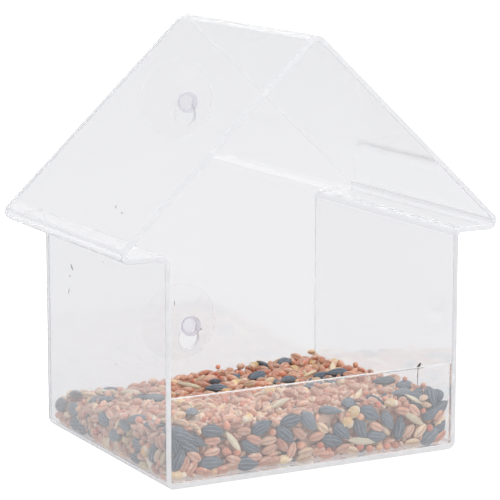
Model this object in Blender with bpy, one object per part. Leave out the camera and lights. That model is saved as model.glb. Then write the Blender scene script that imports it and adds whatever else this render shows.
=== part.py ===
"""Clear window bird feeder: a house of bent acrylic sheet on two suction cups, with seed in its tray.

Metres, +Z up. The origin is the centre of the floor's underside. The open front faces -Y.
The window pane stands at +Y, against the rims of the two suction cups.
"""
import math
import random

import bmesh
import bpy
from mathutils import Matrix, Vector
from mathutils.bvhtree import BVHTree

# Sheet house: outside sizes, to the sharp corners that the bends round off
SHEET = 0.002
HOUSE_WIDTH = 0.116
HOUSE_DEPTH = 0.100
WALL_HEIGHT = 0.079
EAVE_REACH = 0.021
ROOF_RISE = 0.074
LIP_HEIGHT = 0.0315

# Inside radius of each kind of bend, and the break that flame polishing leaves on a cut edge
FLOOR_BEND = 0.001
SOFFIT_BEND = 0.0016
EAVE_BEND = 0.0012
RIDGE_BEND = 0.002
EDGE_BREAK = 0.0002
BEND_STEPS = 8

# Glue gap round a panel, and the play that seed and cups keep to the sheet
GLUE_GAP = 0.0003
SEED_GAP = 0.0003
SEAT_GAP = 0.0003

# Suction cup: knob inside the house, neck through the keyhole, dome and rim against the pane
NECK_RADIUS = 0.0025
NECK_PLAY = 0.0003
KNOB_OVERHANG = 0.0015
KNOB_PLAY = 0.0003
KNOB_HEIGHT = 0.0036
COLLAR_STEP = 0.0013
CUP_RADIUS = 0.015
CUP_STANDOFF = 0.007
CUP_WEB = 0.0017
RIM_LAND = 0.0012
RIM_EDGE = 0.0008
CUP_SIDES = 32

# Keyholes in the back panel: a narrow slot above a wide hole
SLOT_RUN = 0.0017
UPPER_CUP_DROP = 0.0355
LOWER_CUP_HEIGHT = 0.0325
KEYHOLE_STEPS = 24

# Seed heap, as depths over the floor at the front and at the two back corners
FRONT_FILL = 0.0162
BACK_LEFT_FILL = 0.0078
BACK_RIGHT_FILL = 0.0125
HEAP_CELL = 0.00235
GRAIN_PITCH = 0.0042
HEAP_SEED = 31

# How far the grains stand over the pits between them, on the heap's top and against the sheet
TOP_GRAIN_RISE = 0.0024
SIDE_GRAIN_RISE = 0.0019

# Length, width and thickness of each kind of seed that lies on the heap
SUNFLOWER_LENGTH = 0.0094
SUNFLOWER_WIDTH = 0.0048
SUNFLOWER_THICKNESS = 0.0032
WHEAT_LENGTH = 0.0066
WHEAT_WIDTH = 0.0033
WHEAT_THICKNESS = 0.0029
OAT_LENGTH = 0.0112
OAT_WIDTH = 0.0029
OAT_THICKNESS = 0.0022
CORN_LENGTH = 0.0052
CORN_WIDTH = 0.0044
CORN_THICKNESS = 0.0034

# Values that follow from the sizes above
HALF_WIDTH = HOUSE_WIDTH / 2
HALF_DEPTH = HOUSE_DEPTH / 2
RIDGE_HEIGHT = WALL_HEIGHT + ROOF_RISE
KNOB_RADIUS = NECK_RADIUS + KNOB_OVERHANG
SLOT_RADIUS = NECK_RADIUS + NECK_PLAY
WIDE_RADIUS = KNOB_RADIUS + KNOB_PLAY
SLOT_MOUTH = math.sqrt(WIDE_RADIUS ** 2 - SLOT_RADIUS ** 2)
CUP_TRAVEL = SLOT_MOUTH + SLOT_RUN
UPPER_CUP_HEIGHT = RIDGE_HEIGHT - UPPER_CUP_DROP
PANEL_INSET = SHEET + GLUE_GAP


def clear_scene():
    for thing in list(bpy.data.objects):
        bpy.data.objects.remove(thing, do_unlink=True)


def make_material(name, colour, roughness, transmission=0.0, ior=1.49):
    material = bpy.data.materials.new(name)
    material.use_nodes = True
    shader = material.node_tree.nodes["Principled BSDF"]
    shader.inputs["Base Color"].default_value = (*colour, 1.0)
    shader.inputs["Roughness"].default_value = roughness
    shader.inputs["Metallic"].default_value = 0.0
    shader.inputs["Transmission Weight"].default_value = transmission
    shader.inputs["IOR"].default_value = ior
    return material


def add_object(name, mesh, material, smooth_angle=35.0):
    mesh.materials.append(material)
    mesh.shade_smooth()
    mesh.set_sharp_from_angle(angle=math.radians(smooth_angle))
    thing = bpy.data.objects.new(name, mesh)
    bpy.context.scene.collection.objects.link(thing)
    return thing


def rounded_outline(corners, inset):
    """Points round a closed outline of (x, z, bend radius) corners, moved inward by inset.

    The corners run anticlockwise. A bend's inside radius lies on the hollow side of the sheet, so
    an outward corner is rounder outside and an inward corner is rounder inside.
    """
    count = len(corners)
    places = [Vector((corner[0], corner[1])) for corner in corners]
    points = []
    for index in range(count):
        before = (places[index] - places[index - 1]).normalized()
        after = (places[(index + 1) % count] - places[index]).normalized()
        inward_before = Vector((-before.y, before.x))
        inward_after = Vector((-after.y, after.x))
        turn = math.atan2(before.x * after.y - before.y * after.x, before.dot(after))
        shift = (inward_before + inward_after) * (inset / (1 + inward_before.dot(inward_after)))
        corner = places[index] + shift
        if turn > 0:
            radius = max(corners[index][2] + SHEET - inset, EDGE_BREAK)
        else:
            radius = corners[index][2] + inset
        side = math.copysign(1, turn)
        start = corner - before * radius * math.tan(abs(turn) / 2)
        centre = start + inward_before * radius * side
        arm = start - centre
        for step in range(BEND_STEPS + 1):
            angle = turn * step / BEND_STEPS
            spoke = Matrix.Rotation(angle, 2) @ arm
            points.append(centre + spoke)
    return points


def house_outline(inset):
    return rounded_outline([
        (-HALF_WIDTH, 0, FLOOR_BEND),
        (HALF_WIDTH, 0, FLOOR_BEND),
        (HALF_WIDTH, WALL_HEIGHT, SOFFIT_BEND),
        (HALF_WIDTH + EAVE_REACH, WALL_HEIGHT, EAVE_BEND),
        (0, RIDGE_HEIGHT, RIDGE_BEND),
        (-HALF_WIDTH - EAVE_REACH, WALL_HEIGHT, EAVE_BEND),
        (-HALF_WIDTH, WALL_HEIGHT, SOFFIT_BEND),
    ], inset)


def lip_outline(inset):
    """The lip fills the tray's section up to its height, with square corners at the top."""
    top = LIP_HEIGHT + PANEL_INSET
    square = -SHEET
    return rounded_outline([
        (-HALF_WIDTH, 0, FLOOR_BEND),
        (HALF_WIDTH, 0, FLOOR_BEND),
        (HALF_WIDTH, top, square),
        (-HALF_WIDTH, top, square),
    ], inset)


def skin_loops(name, loops, closed_ring):
    """A mesh over loops of equal length: a ring of sheet, or a plate with its two ends filled."""
    form = bmesh.new()
    rows = [[form.verts.new(point) for point in loop] for loop in loops]
    last = len(rows) if closed_ring else len(rows) - 1
    for index in range(last):
        near = rows[index]
        far = rows[(index + 1) % len(rows)]
        for spot in range(len(near)):
            beside = (spot + 1) % len(near)
            form.faces.new((near[spot], near[beside], far[beside], far[spot]))
    if not closed_ring:
        form.faces.new(rows[0])
        form.faces.new(rows[-1])
    bmesh.ops.recalc_face_normals(form, faces=form.faces)
    mesh = bpy.data.meshes.new(name)
    form.to_mesh(mesh)
    form.free()
    return mesh


def outline_loop(outline, inset, depth_place):
    return [(point.x, depth_place, point.y) for point in outline(inset)]


def sheet_ring(name, outline, front, back):
    """Bent strip of sheet, swept round the outline, with both cut edges broken."""
    loops = [
        outline_loop(outline, 0, front + EDGE_BREAK),
        outline_loop(outline, 0, back - EDGE_BREAK),
        outline_loop(outline, EDGE_BREAK, back),
        outline_loop(outline, SHEET - EDGE_BREAK, back),
        outline_loop(outline, SHEET, back - EDGE_BREAK),
        outline_loop(outline, SHEET, front + EDGE_BREAK),
        outline_loop(outline, SHEET - EDGE_BREAK, front),
        outline_loop(outline, EDGE_BREAK, front),
    ]
    return skin_loops(name, loops, closed_ring=True)


def flat_panel(name, outline, inset, front):
    """Flat plate of sheet inside the outline, with its edges broken on both faces."""
    back = front + SHEET
    loops = [
        outline_loop(outline, inset + EDGE_BREAK, front),
        outline_loop(outline, inset, front + EDGE_BREAK),
        outline_loop(outline, inset, back - EDGE_BREAK),
        outline_loop(outline, inset + EDGE_BREAK, back),
    ]
    return skin_loops(name, loops, closed_ring=False)


def keyhole_outline(seat_height):
    """A round-topped slot that opens downward into the wide hole, through which the knob goes."""
    wide_centre = seat_height - CUP_TRAVEL
    mouth_angle = math.acos(SLOT_RADIUS / WIDE_RADIUS)
    sweep = math.pi + 2 * mouth_angle
    points = []
    for step in range(KEYHOLE_STEPS + 1):
        angle = math.pi - mouth_angle + sweep * step / KEYHOLE_STEPS
        points.append((WIDE_RADIUS * math.cos(angle), wide_centre + WIDE_RADIUS * math.sin(angle)))
    half_steps = KEYHOLE_STEPS // 2
    for step in range(half_steps + 1):
        angle = math.pi * step / half_steps
        points.append((SLOT_RADIUS * math.cos(angle), seat_height + SLOT_RADIUS * math.sin(angle)))
    return points


def cut_keyhole(panel, name, seat_height):
    outline = keyhole_outline(seat_height)
    front = HALF_DEPTH - 2 * SHEET
    back = HALF_DEPTH + SHEET
    loops = [[(x, place, z) for x, z in outline] for place in (front, back)]
    cutter = bpy.data.objects.new(name, skin_loops(name, loops, closed_ring=False))
    bpy.context.scene.collection.objects.link(cutter)
    cutter.hide_render = True
    cutter.display_type = "WIRE"
    cut = panel.modifiers.new(name, "BOOLEAN")
    cut.operation = "DIFFERENCE"
    cut.solver = "EXACT"
    cut.object = cutter


def quarter_arc(centre, reach_out, reach_along, start_angle, end_angle, steps):
    points = []
    for step in range(steps + 1):
        angle = math.radians(start_angle + (end_angle - start_angle) * step / steps)
        points.append((centre[0] + reach_out * math.sin(angle), centre[1] + reach_along * math.cos(angle)))
    return points


def cup_profile():
    """Half section of the cup as (radius, distance along its axis), from the knob's tip to the hollow.

    The distance is counted from the panel's back face, towards the pane.
    """
    knob_waist_share = 0.42
    underside_reach_share = 0.55
    web_behind_collar_share = 0.3
    wall_steps = 7
    knob_back = -(SHEET + SEAT_GAP)
    knob_waist = knob_back - KNOB_HEIGHT * knob_waist_share
    knob_dome = KNOB_HEIGHT * (1 - knob_waist_share)
    underside_reach = KNOB_OVERHANG * underside_reach_share
    underside_centre = (KNOB_RADIUS - underside_reach, knob_waist)
    profile = quarter_arc((0, knob_waist), KNOB_RADIUS, -knob_dome, 0, 90, 6)
    profile += quarter_arc(underside_centre, underside_reach, knob_back - knob_waist, 90, 0, 3)[1:]
    profile.append((NECK_RADIUS, knob_back))
    profile.append((NECK_RADIUS, SEAT_GAP))
    collar_radius = NECK_RADIUS + COLLAR_STEP
    profile.append((collar_radius, SEAT_GAP))
    hollow_radius = CUP_RADIUS - RIM_LAND
    hollow_floor = SEAT_GAP + CUP_WEB
    hollow_depth = CUP_STANDOFF - hollow_floor
    wall_at_collar = CUP_WEB * (1 - web_behind_collar_share)
    for step in range(wall_steps + 1):
        share = step / wall_steps
        radius = collar_radius + (CUP_RADIUS - collar_radius) * share
        hollow_share = min(radius / hollow_radius, 1)
        wall = wall_at_collar + (RIM_EDGE - wall_at_collar) * share
        profile.append((radius, hollow_floor + hollow_depth * hollow_share ** 2 - wall))
    profile.append((CUP_RADIUS, CUP_STANDOFF))
    profile.append((hollow_radius, CUP_STANDOFF))
    for step in range(1, wall_steps + 1):
        share = 1 - step / wall_steps
        profile.append((hollow_radius * share, hollow_floor + hollow_depth * share ** 2))
    return profile


def turned_mesh(name, profile, sides):
    """Turn a profile of (radius, distance) points about +Y; its first and last points lie on the axis."""
    form = bmesh.new()
    rings = []
    for radius, along in profile[1:-1]:
        ring = []
        for side in range(sides):
            angle = math.tau * side / sides
            ring.append(form.verts.new((radius * math.cos(angle), along, radius * math.sin(angle))))
        rings.append(ring)
    for near, far in zip(rings, rings[1:]):
        for side in range(sides):
            beside = (side + 1) % sides
            form.faces.new((near[side], near[beside], far[beside], far[side]))
    for ring, place in ((rings[0], profile[0][1]), (rings[-1], profile[-1][1])):
        tip = form.verts.new((0, place, 0))
        for side in range(sides):
            form.faces.new((ring[side], ring[(side + 1) % sides], tip))
    bmesh.ops.recalc_face_normals(form, faces=form.faces)
    mesh = bpy.data.meshes.new(name)
    form.to_mesh(mesh)
    form.free()
    return mesh


def add_cup(name, height, material):
    """The origin lies on the neck's axis, in the keyhole's seat, from which the cup slides down."""
    cup = add_object(name, turned_mesh(name, cup_profile(), CUP_SIDES), material)
    cup.location = (0, HALF_DEPTH, height)
    return cup


def heap_depth(across_share, along_share):
    """Mean seed depth over the floor: level at the front, falling to the two back corners."""
    level_share = 0.35
    rise_power = 0.7
    fall = max(along_share - level_share * across_share, 0) / (1 - level_share * across_share)
    ease = fall * fall * (3 - 2 * fall)
    back = BACK_LEFT_FILL + (BACK_RIGHT_FILL - BACK_LEFT_FILL) * across_share ** rise_power
    return FRONT_FILL + (back - FRONT_FILL) * ease


def loose_seed_place(kind, across_share, along_share):
    """Middle of a loose seed on the tray's floor plan, kept its own half length off the walls."""
    reach = SEED_SHAPES[kind]["length"] / 2 + SEED_GAP
    room_x = HALF_WIDTH - SHEET - SEED_GAP - reach
    room_y = HALF_DEPTH - SHEET - SEED_GAP - reach
    return room_x * (2 * across_share - 1), room_y * (2 * along_share - 1)


def scatter_grains(draw, width, height, beds):
    """Grains on a jittered pitch over one face of the heap: place, heading, half sizes and lift.

    None lies under the middle of a bed, which is kept for a loose seed.
    """
    jitter_share = 0.42
    dark_seed_share = 0.2
    least_lift_share = 0.55
    grains = []
    across = round(width / GRAIN_PITCH)
    along = round(height / GRAIN_PITCH)
    for row in range(along + 1):
        for column in range(across + 1):
            x = -width / 2 + width * column / across + GRAIN_PITCH * jitter_share * draw.uniform(-1, 1)
            y = -height / 2 + height * row / along + GRAIN_PITCH * jitter_share * draw.uniform(-1, 1)
            heading = draw.uniform(0, math.pi)
            lift = draw.uniform(least_lift_share, 1)
            if draw.random() < dark_seed_share:
                grain = (x, y, heading, SUNFLOWER_LENGTH / 2, SUNFLOWER_WIDTH / 2, lift)
            else:
                grain = (x, y, heading, WHEAT_LENGTH / 2, WHEAT_WIDTH / 2, lift)
            if all(math.hypot(x - bed_x, y - bed_y) > GRAIN_PITCH for bed_x, bed_y in beds):
                grains.append(grain)
    return grains


def grain_share(x, y, grains):
    """How far the tallest grain at this place stands over the pits, from none to 1."""
    tallest = 0
    for place_x, place_y, heading, half_length, half_width, lift in grains:
        dx = x - place_x
        dy = y - place_y
        if abs(dx) < half_length and abs(dy) < half_length:
            along = (dx * math.cos(heading) + dy * math.sin(heading)) / half_length
            across = (dy * math.cos(heading) - dx * math.sin(heading)) / half_width
            reach = along * along + across * across
            if reach < 1:
                tallest = max(tallest, lift * math.sqrt(1 - reach))
    return tallest


def heap_top_grid(form, half_x, half_y, grains):
    """Grid of grain tops over the tray's floor. The heap's depth lies between the pits and the tops."""
    pit_share = 0.35
    columns = round(2 * half_x / HEAP_CELL)
    rows = round(2 * half_y / HEAP_CELL)
    grid = []
    for row in range(rows + 1):
        line = []
        for column in range(columns + 1):
            across_share = column / columns
            along_share = row / rows
            x = -half_x + 2 * half_x * across_share
            y = -half_y + 2 * half_y * along_share
            relief = TOP_GRAIN_RISE * (grain_share(x, y, grains) - pit_share)
            line.append(form.verts.new((x, y, SHEET + heap_depth(across_share, along_share) + relief)))
        grid.append(line)
    for row in range(rows):
        for column in range(columns):
            form.faces.new((grid[row][column], grid[row][column + 1],
                            grid[row + 1][column + 1], grid[row + 1][column]))
    return grid


def heap_border(grid):
    """The grid's border in order round the heap: each vertex, its side's number and the way inward."""
    inward = [Vector((0, 1, 0)), Vector((-1, 0, 0)), Vector((0, -1, 0)), Vector((1, 0, 0))]
    left = [line[0] for line in grid[:0:-1]]
    right = [line[-1] for line in grid[:-1]]
    runs = [grid[0][:-1], right, grid[-1][:0:-1], left]
    border = []
    for side, run in enumerate(runs):
        corner_inward = (inward[side] + inward[side - 1]).normalized()
        for spot, vert in enumerate(run):
            border.append((vert, side, inward[side] if spot else corner_inward))
    return border


def seed_heap_mesh(name):
    """The settled seed as one heap: grain tops above, and grains that lie against the sheet round it."""
    half_x = HALF_WIDTH - SHEET - SEED_GAP
    half_y = HALF_DEPTH - SHEET - SEED_GAP
    draw = random.Random(HEAP_SEED)
    beds = [loose_seed_place(kind, across, along) for kind, across, along, _, _ in LOOSE_SEED_SHARES]
    form = bmesh.new()
    grid = heap_top_grid(form, half_x, half_y, scatter_grains(draw, 2 * half_x, 2 * half_y, beds))
    side_lengths = [2 * half_x, 2 * half_y] * 2
    side_grains = [scatter_grains(draw, length, FRONT_FILL, []) for length in side_lengths]
    shoulder = SHEET + SEED_GAP + FLOOR_BEND
    levels = round((FRONT_FILL - FLOOR_BEND) / HEAP_CELL)
    foot_share_x = (half_x - FLOOR_BEND) / half_x
    foot_share_y = (half_y - FLOOR_BEND) / half_y
    rings = [[] for _ in range(levels + 2)]
    for vert, side, inward in heap_border(grid):
        edge = vert.co.copy()
        place_along = edge.y if side % 2 else edge.x
        for level in range(levels + 1):
            spot = Vector((edge.x, edge.y, edge.z + (shoulder - edge.z) * level / levels))
            stand = grain_share(place_along, spot.z - SHEET - FRONT_FILL / 2, side_grains[side])
            spot += inward * SIDE_GRAIN_RISE * (1 - stand)
            if level:
                rings[level].append(form.verts.new(spot))
            else:
                vert.co = spot
                rings[level].append(vert)
        foot = (edge.x * foot_share_x, edge.y * foot_share_y, SHEET + SEED_GAP)
        rings[-1].append(form.verts.new(foot))
    for upper, lower in zip(rings, rings[1:]):
        for spot in range(len(upper)):
            beside = (spot + 1) % len(upper)
            form.faces.new((upper[spot], upper[beside], lower[beside], lower[spot]))
    form.faces.new(rings[-1])
    bmesh.ops.recalc_face_normals(form, faces=form.faces)
    mesh = bpy.data.meshes.new(name)
    form.to_mesh(mesh)
    form.free()
    return mesh


def seed_mesh(name, kind, draw):
    """One seed lying along X: stations from tail to tip, each an oval shaped for its kind."""
    shape = SEED_SHAPES[kind]
    stations = 7
    sides = 8
    groove_power = 6
    form = bmesh.new()
    rings = []
    for station in range(1, stations):
        share = station / stations
        swell = math.sin(math.pi * share ** shape["tip_bias"]) ** shape["end_power"]
        along = shape["length"] * (share - 0.5)
        ring = []
        for side in range(sides):
            angle = math.tau * side / sides
            groove = 1 - shape["groove_share"] * max(math.sin(angle), 0) ** groove_power
            chip = 1 - shape["chip_share"] * draw.random()
            y = shape["width"] / 2 * swell * math.cos(angle) * chip
            z = shape["thickness"] / 2 * swell * math.sin(angle) * groove * chip
            ring.append(form.verts.new((along, y, z)))
        rings.append(ring)
    for near, far in zip(rings, rings[1:]):
        for side in range(sides):
            beside = (side + 1) % sides
            form.faces.new((near[side], near[beside], far[beside], far[side]))
    for ring, end in ((rings[0], -0.5), (rings[-1], 0.5)):
        tip = form.verts.new((shape["length"] * end * shape["end_cap_share"], 0, 0))
        for side in range(sides):
            form.faces.new((ring[side], ring[(side + 1) % sides], tip))
    bmesh.ops.recalc_face_normals(form, faces=form.faces)
    mesh = bpy.data.meshes.new(name)
    form.to_mesh(mesh)
    form.free()
    return mesh


SEED_SHAPES = {
    "sunflower_seed": {
        "length": SUNFLOWER_LENGTH, "width": SUNFLOWER_WIDTH, "thickness": SUNFLOWER_THICKNESS,
        "tip_bias": 0.78, "end_power": 0.85, "groove_share": 0.0, "chip_share": 0.0, "end_cap_share": 1.0,
    },
    "wheat_grain": {
        "length": WHEAT_LENGTH, "width": WHEAT_WIDTH, "thickness": WHEAT_THICKNESS,
        "tip_bias": 1.0, "end_power": 0.6, "groove_share": 0.3, "chip_share": 0.0, "end_cap_share": 0.96,
    },
    "oat_grain": {
        "length": OAT_LENGTH, "width": OAT_WIDTH, "thickness": OAT_THICKNESS,
        "tip_bias": 0.9, "end_power": 0.8, "groove_share": 0.25, "chip_share": 0.0, "end_cap_share": 1.0,
    },
    "corn_piece": {
        "length": CORN_LENGTH, "width": CORN_WIDTH, "thickness": CORN_THICKNESS,
        "tip_bias": 0.9, "end_power": 0.45, "groove_share": 0.0, "chip_share": 0.3, "end_cap_share": 0.85,
    },
}

# Seeds that lie on the heap: kind, share of the tray's width and depth, heading and tilt in degrees
LOOSE_SEED_SHARES = [
    ("sunflower_seed", 0.87, 0.98, 43, 6),
    ("sunflower_seed", 0.64, 0.73, 26, -6),
    ("sunflower_seed", 0.68, 0.54, 28, 8),
    ("sunflower_seed", 0.42, 0.61, -12, 5),
    ("sunflower_seed", 0.89, 0.54, -28, -4),
    ("sunflower_seed", 0.91, 0.05, 7, 5),
    ("sunflower_seed", 0.95, 0.27, -49, -8),
    ("sunflower_seed", 0.14, 0.19, 64, 6),
    ("sunflower_seed", 0.68, 0.02, 57, -6),
    ("sunflower_seed", 0.06, 0.80, 30, 10),
    ("sunflower_seed", 0.01, 0.97, 58, 24),
    ("sunflower_seed", 0.20, 0.66, -15, 6),
    ("wheat_grain", 0.31, 0.67, 21, 5),
    ("wheat_grain", 0.52, 0.72, -70, -5),
    ("wheat_grain", 0.85, 0.71, -8, 4),
    ("wheat_grain", 0.48, 0.16, -64, -4),
    ("wheat_grain", 0.88, 0.16, -49, 3),
    ("wheat_grain", 0.28, 0.11, -104, 6),
    ("wheat_grain", 0.81, 0.24, -65, 0),
    ("wheat_grain", 0.92, 0.91, 39, -6),
    ("oat_grain", 0.39, 0.81, -58, 3),
    ("oat_grain", 0.19, 0.89, -63, -4),
    ("corn_piece", 0.74, 0.98, 30, 0),
    ("corn_piece", 0.23, 0.50, -28, 10),
    ("corn_piece", 0.52, 0.38, -28, -10),
]


def lowest_clearance(seed_points, seed_tree, bed_points, bed_tree, far):
    """Least upright distance from the seed down to what lies under it."""
    down = Vector((0, 0, -1))
    up = Vector((0, 0, 1))
    least = far
    for spot in seed_points:
        below = bed_tree.ray_cast(spot, down, far)[3]
        if below is not None:
            least = min(least, below)
    for spot in bed_points:
        above = seed_tree.ray_cast(spot, up, far)[3]
        if above is not None:
            least = min(least, above)
    return least


def tree_and_points(things):
    """The things' faces as a search tree, and the points to probe from: corners and edge middles."""
    corners = []
    faces = []
    middles = []
    for thing in things:
        start = len(corners)
        corners += [thing.matrix_world @ vert.co for vert in thing.data.vertices]
        faces += [tuple(start + index for index in face.vertices) for face in thing.data.polygons]
        for edge in thing.data.edges:
            middles.append((corners[start + edge.vertices[0]] + corners[start + edge.vertices[1]]) / 2)
    return BVHTree.FromPolygons(corners, faces), corners + middles


def lay_seeds(heap, materials):
    """Lower each seed until it meets the heap or the seeds under it, and lift it off by SEED_GAP."""
    draw = random.Random(HEAP_SEED)
    drop = RIDGE_HEIGHT / 2
    laid = [heap]
    counts = {}
    for kind, across_share, along_share, heading, tilt in LOOSE_SEED_SHARES:
        counts[kind] = counts.get(kind, 0) + 1
        name = f"{kind}_{counts[kind]:02d}"
        seed = add_object(name, seed_mesh(name, kind, draw), materials[kind])
        reach = SEED_SHAPES[kind]["length"] / 2 + SEED_GAP
        x, y = loose_seed_place(kind, across_share, along_share)
        spin = Matrix.Rotation(math.radians(heading), 4, "Z")
        lean = Matrix.Rotation(math.radians(tilt), 4, "Y")
        seed.matrix_world = Matrix.Translation((x, y, drop)) @ spin @ lean
        seed_tree, seed_points = tree_and_points([seed])
        bed_tree, bed_points = tree_and_points(laid)
        under = [spot for spot in bed_points if abs(spot.x - x) < reach and abs(spot.y - y) < reach]
        clearance = lowest_clearance(seed_points, seed_tree, under, bed_tree, drop)
        lift = Matrix.Translation((0, 0, SEED_GAP))
        seed.matrix_world = Matrix.Translation((0, 0, -clearance)) @ seed.matrix_world
        while tree_and_points([seed])[0].overlap(bed_tree):
            seed.matrix_world = lift @ seed.matrix_world
        seed.matrix_world = lift @ seed.matrix_world
        laid.append(seed)


def main():
    clear_scene()
    acrylic = make_material("clear_acrylic", (0.96, 0.97, 0.98), 0.03, transmission=1.0)
    vinyl = make_material("clear_vinyl", (0.93, 0.93, 0.97), 0.12, transmission=0.9, ior=1.52)
    seed_materials = {
        "sunflower_seed": make_material("sunflower_hull", (0.035, 0.045, 0.06), 0.5),
        "wheat_grain": make_material("wheat_husk", (0.62, 0.22, 0.08), 0.5),
        "oat_grain": make_material("oat_husk", (0.68, 0.6, 0.42), 0.6),
        "corn_piece": make_material("cracked_corn", (0.85, 0.5, 0.1), 0.5),
    }
    seed_mix = make_material("seed_mix", (0.5, 0.2, 0.09), 0.6)

    add_object("house_shell", sheet_ring("house_shell", house_outline, -HALF_DEPTH, HALF_DEPTH), acrylic)
    panel_mesh = flat_panel("back_panel", house_outline, PANEL_INSET, HALF_DEPTH - SHEET)
    panel = add_object("back_panel", panel_mesh, acrylic)
    cut_keyhole(panel, "upper_keyhole", UPPER_CUP_HEIGHT)
    cut_keyhole(panel, "lower_keyhole", LOWER_CUP_HEIGHT)
    add_object("front_lip", flat_panel("front_lip", lip_outline, PANEL_INSET, -HALF_DEPTH), acrylic)

    add_cup("suction_cup_upper", UPPER_CUP_HEIGHT, vinyl)
    add_cup("suction_cup_lower", LOWER_CUP_HEIGHT, vinyl)

    heap = add_object("seed_heap", seed_heap_mesh("seed_heap"), seed_mix)
    lay_seeds(heap, seed_materials)
    print(f"cup travel {CUP_TRAVEL:.5f} m, upper neck at {UPPER_CUP_HEIGHT:.4f} m")


main()
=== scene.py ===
# %% [markdown]
# # A clear window bird feeder
# The real object is one strip of clear acrylic, heated along seven lines and bent into a house.
# A back panel and a low front lip are welded into it, and two soft suction cups hold it on a pane.
# The tray holds loose bird seed. Almost all of what we see is glass-like sheet and small grains, so
# this lesson spends its cells on three things: sheet edges, a white studio, and well settled seed.

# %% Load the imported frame
import math

import bmesh
import bpy
import numpy as np
from mathutils import Matrix, Vector


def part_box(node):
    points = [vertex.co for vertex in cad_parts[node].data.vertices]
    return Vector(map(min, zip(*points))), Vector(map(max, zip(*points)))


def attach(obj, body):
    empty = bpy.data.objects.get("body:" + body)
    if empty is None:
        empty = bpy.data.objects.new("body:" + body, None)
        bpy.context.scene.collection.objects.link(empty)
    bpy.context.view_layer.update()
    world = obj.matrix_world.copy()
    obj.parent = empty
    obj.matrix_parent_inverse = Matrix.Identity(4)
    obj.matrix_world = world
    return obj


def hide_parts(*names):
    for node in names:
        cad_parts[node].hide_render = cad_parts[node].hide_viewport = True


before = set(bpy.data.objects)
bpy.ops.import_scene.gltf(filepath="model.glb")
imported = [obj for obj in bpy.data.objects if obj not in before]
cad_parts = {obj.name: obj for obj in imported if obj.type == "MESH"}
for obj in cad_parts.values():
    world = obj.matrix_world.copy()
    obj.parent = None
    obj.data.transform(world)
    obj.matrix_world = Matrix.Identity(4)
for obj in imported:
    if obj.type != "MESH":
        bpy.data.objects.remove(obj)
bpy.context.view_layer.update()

# %% [markdown]
# ## Sizes that everything shares
# The bends round off the corners, so the sheet's sharp corners are named here and not measured.
# The depth comes from the frame itself. All lengths are metres.

# %% Name the house sizes
MM = 0.001
SHEET = 2.0 * MM
HALF_WIDTH = 58.0 * MM
WALL_HEIGHT = 79.0 * MM
EAVE_REACH = 21.0 * MM
RIDGE_HEIGHT = 153.0 * MM
LIP_HEIGHT = 31.5 * MM
EDGE_BREAK = 0.22 * MM
WELD_GAP = 0.05 * MM
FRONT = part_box("house_shell")[0].y
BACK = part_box("house_shell")[1].y
UPPER_NECK = Vector((0, BACK, 117.5 * MM))
LOWER_NECK = Vector((0, BACK, 32.5 * MM))
print(f"house depth {(BACK - FRONT) / MM:.1f} mm")

# %% [markdown]
# ## The camera
# A product photograph like this one is taken from a distance with a long lens, so that the near and
# far gables keep nearly the same size. The place and the angles below make the corners of the house
# fall where the photograph has them. The focal length is given in pixels of the 500 pixel frame, and
# the sensor width turns it into millimetres.

# %% Place the camera
FRAME_PIXELS = 500
FOCAL_PIXELS = 2381.7
SENSOR_WIDTH_MM = 36
CAMERA_PLACE = Vector((-399.7, -748.4, 226.9)) * MM
LOOK_RIGHT = math.radians(28.15)
LOOK_DOWN = math.radians(10.5)
NEAREST_SEEN = 0.05
FURTHEST_SEEN = 30


def add_to_scene(name, data):
    thing = bpy.data.objects.new(name, data)
    bpy.context.scene.collection.objects.link(thing)
    return thing


camera_data = bpy.data.cameras.new("product_camera")
camera_data.sensor_width = SENSOR_WIDTH_MM
camera_data.lens = FOCAL_PIXELS / FRAME_PIXELS * SENSOR_WIDTH_MM
camera_data.clip_start = NEAREST_SEEN
camera_data.clip_end = FURTHEST_SEEN
camera = add_to_scene("product_camera", camera_data)
camera.location = CAMERA_PLACE
camera.rotation_euler = (math.pi / 2 - LOOK_DOWN, 0, -LOOK_RIGHT)
bpy.context.scene.camera = camera
print(f"lens {camera_data.lens:.1f} mm")


# %% [markdown]
# ## From a pixel to a place
# Some seeds and specks stand out in the photograph, and they are laid where it shows them. A pixel is
# only a direction, so each one also needs the surface that carries the thing: we follow the pixel's
# ray from the camera and stop it at that surface.

# %% Follow a pixel's ray
def pixel_ray(x, y):
    turn = camera.rotation_euler.to_matrix()
    half = FRAME_PIXELS / 2
    ray = turn @ Vector((x - half, half - y, -FOCAL_PIXELS))
    return ray.normalized()


def hit_plane(x, y, point, normal):
    ray = pixel_ray(x, y)
    reach = (Vector(point) - CAMERA_PLACE).dot(normal) / ray.dot(normal)
    return CAMERA_PLACE + ray * reach


def pixel_towards(x, y, degrees, step=1.0):
    """The pixel that lies a step away, at a turn on the picture."""
    turn = math.radians(degrees)
    return x + step * math.cos(turn), y - step * math.sin(turn)


LEFTWARD = Vector((-1, 0, 0))
FRONTWARD = Vector((0, -1, 0))
UPWARD = Vector((0, 0, 1))


# %% [markdown]
# ## Small helpers for node trees
# A node tree is easier to read when each node is made in one call that also says what feeds it.
# A value that is a socket becomes a link, and anything else is set on the input. A Mix node has a
# set of sockets for each kind of value, so those for colours are named by their number.

# %% Make and feed nodes
MIX_FIRST = 6
MIX_SECOND = 7
MIX_RESULT = 2


def feed(tree, target, value):
    if isinstance(value, bpy.types.NodeSocket):
        tree.links.new(value, target)
    elif target.type == "RGBA" and len(value) == 3:
        target.default_value = (*value, 1.0)
    else:
        target.default_value = value


def feed_all(tree, made, inputs):
    for name, value in inputs.items():
        feed(tree, made.inputs[name], value)


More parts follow.
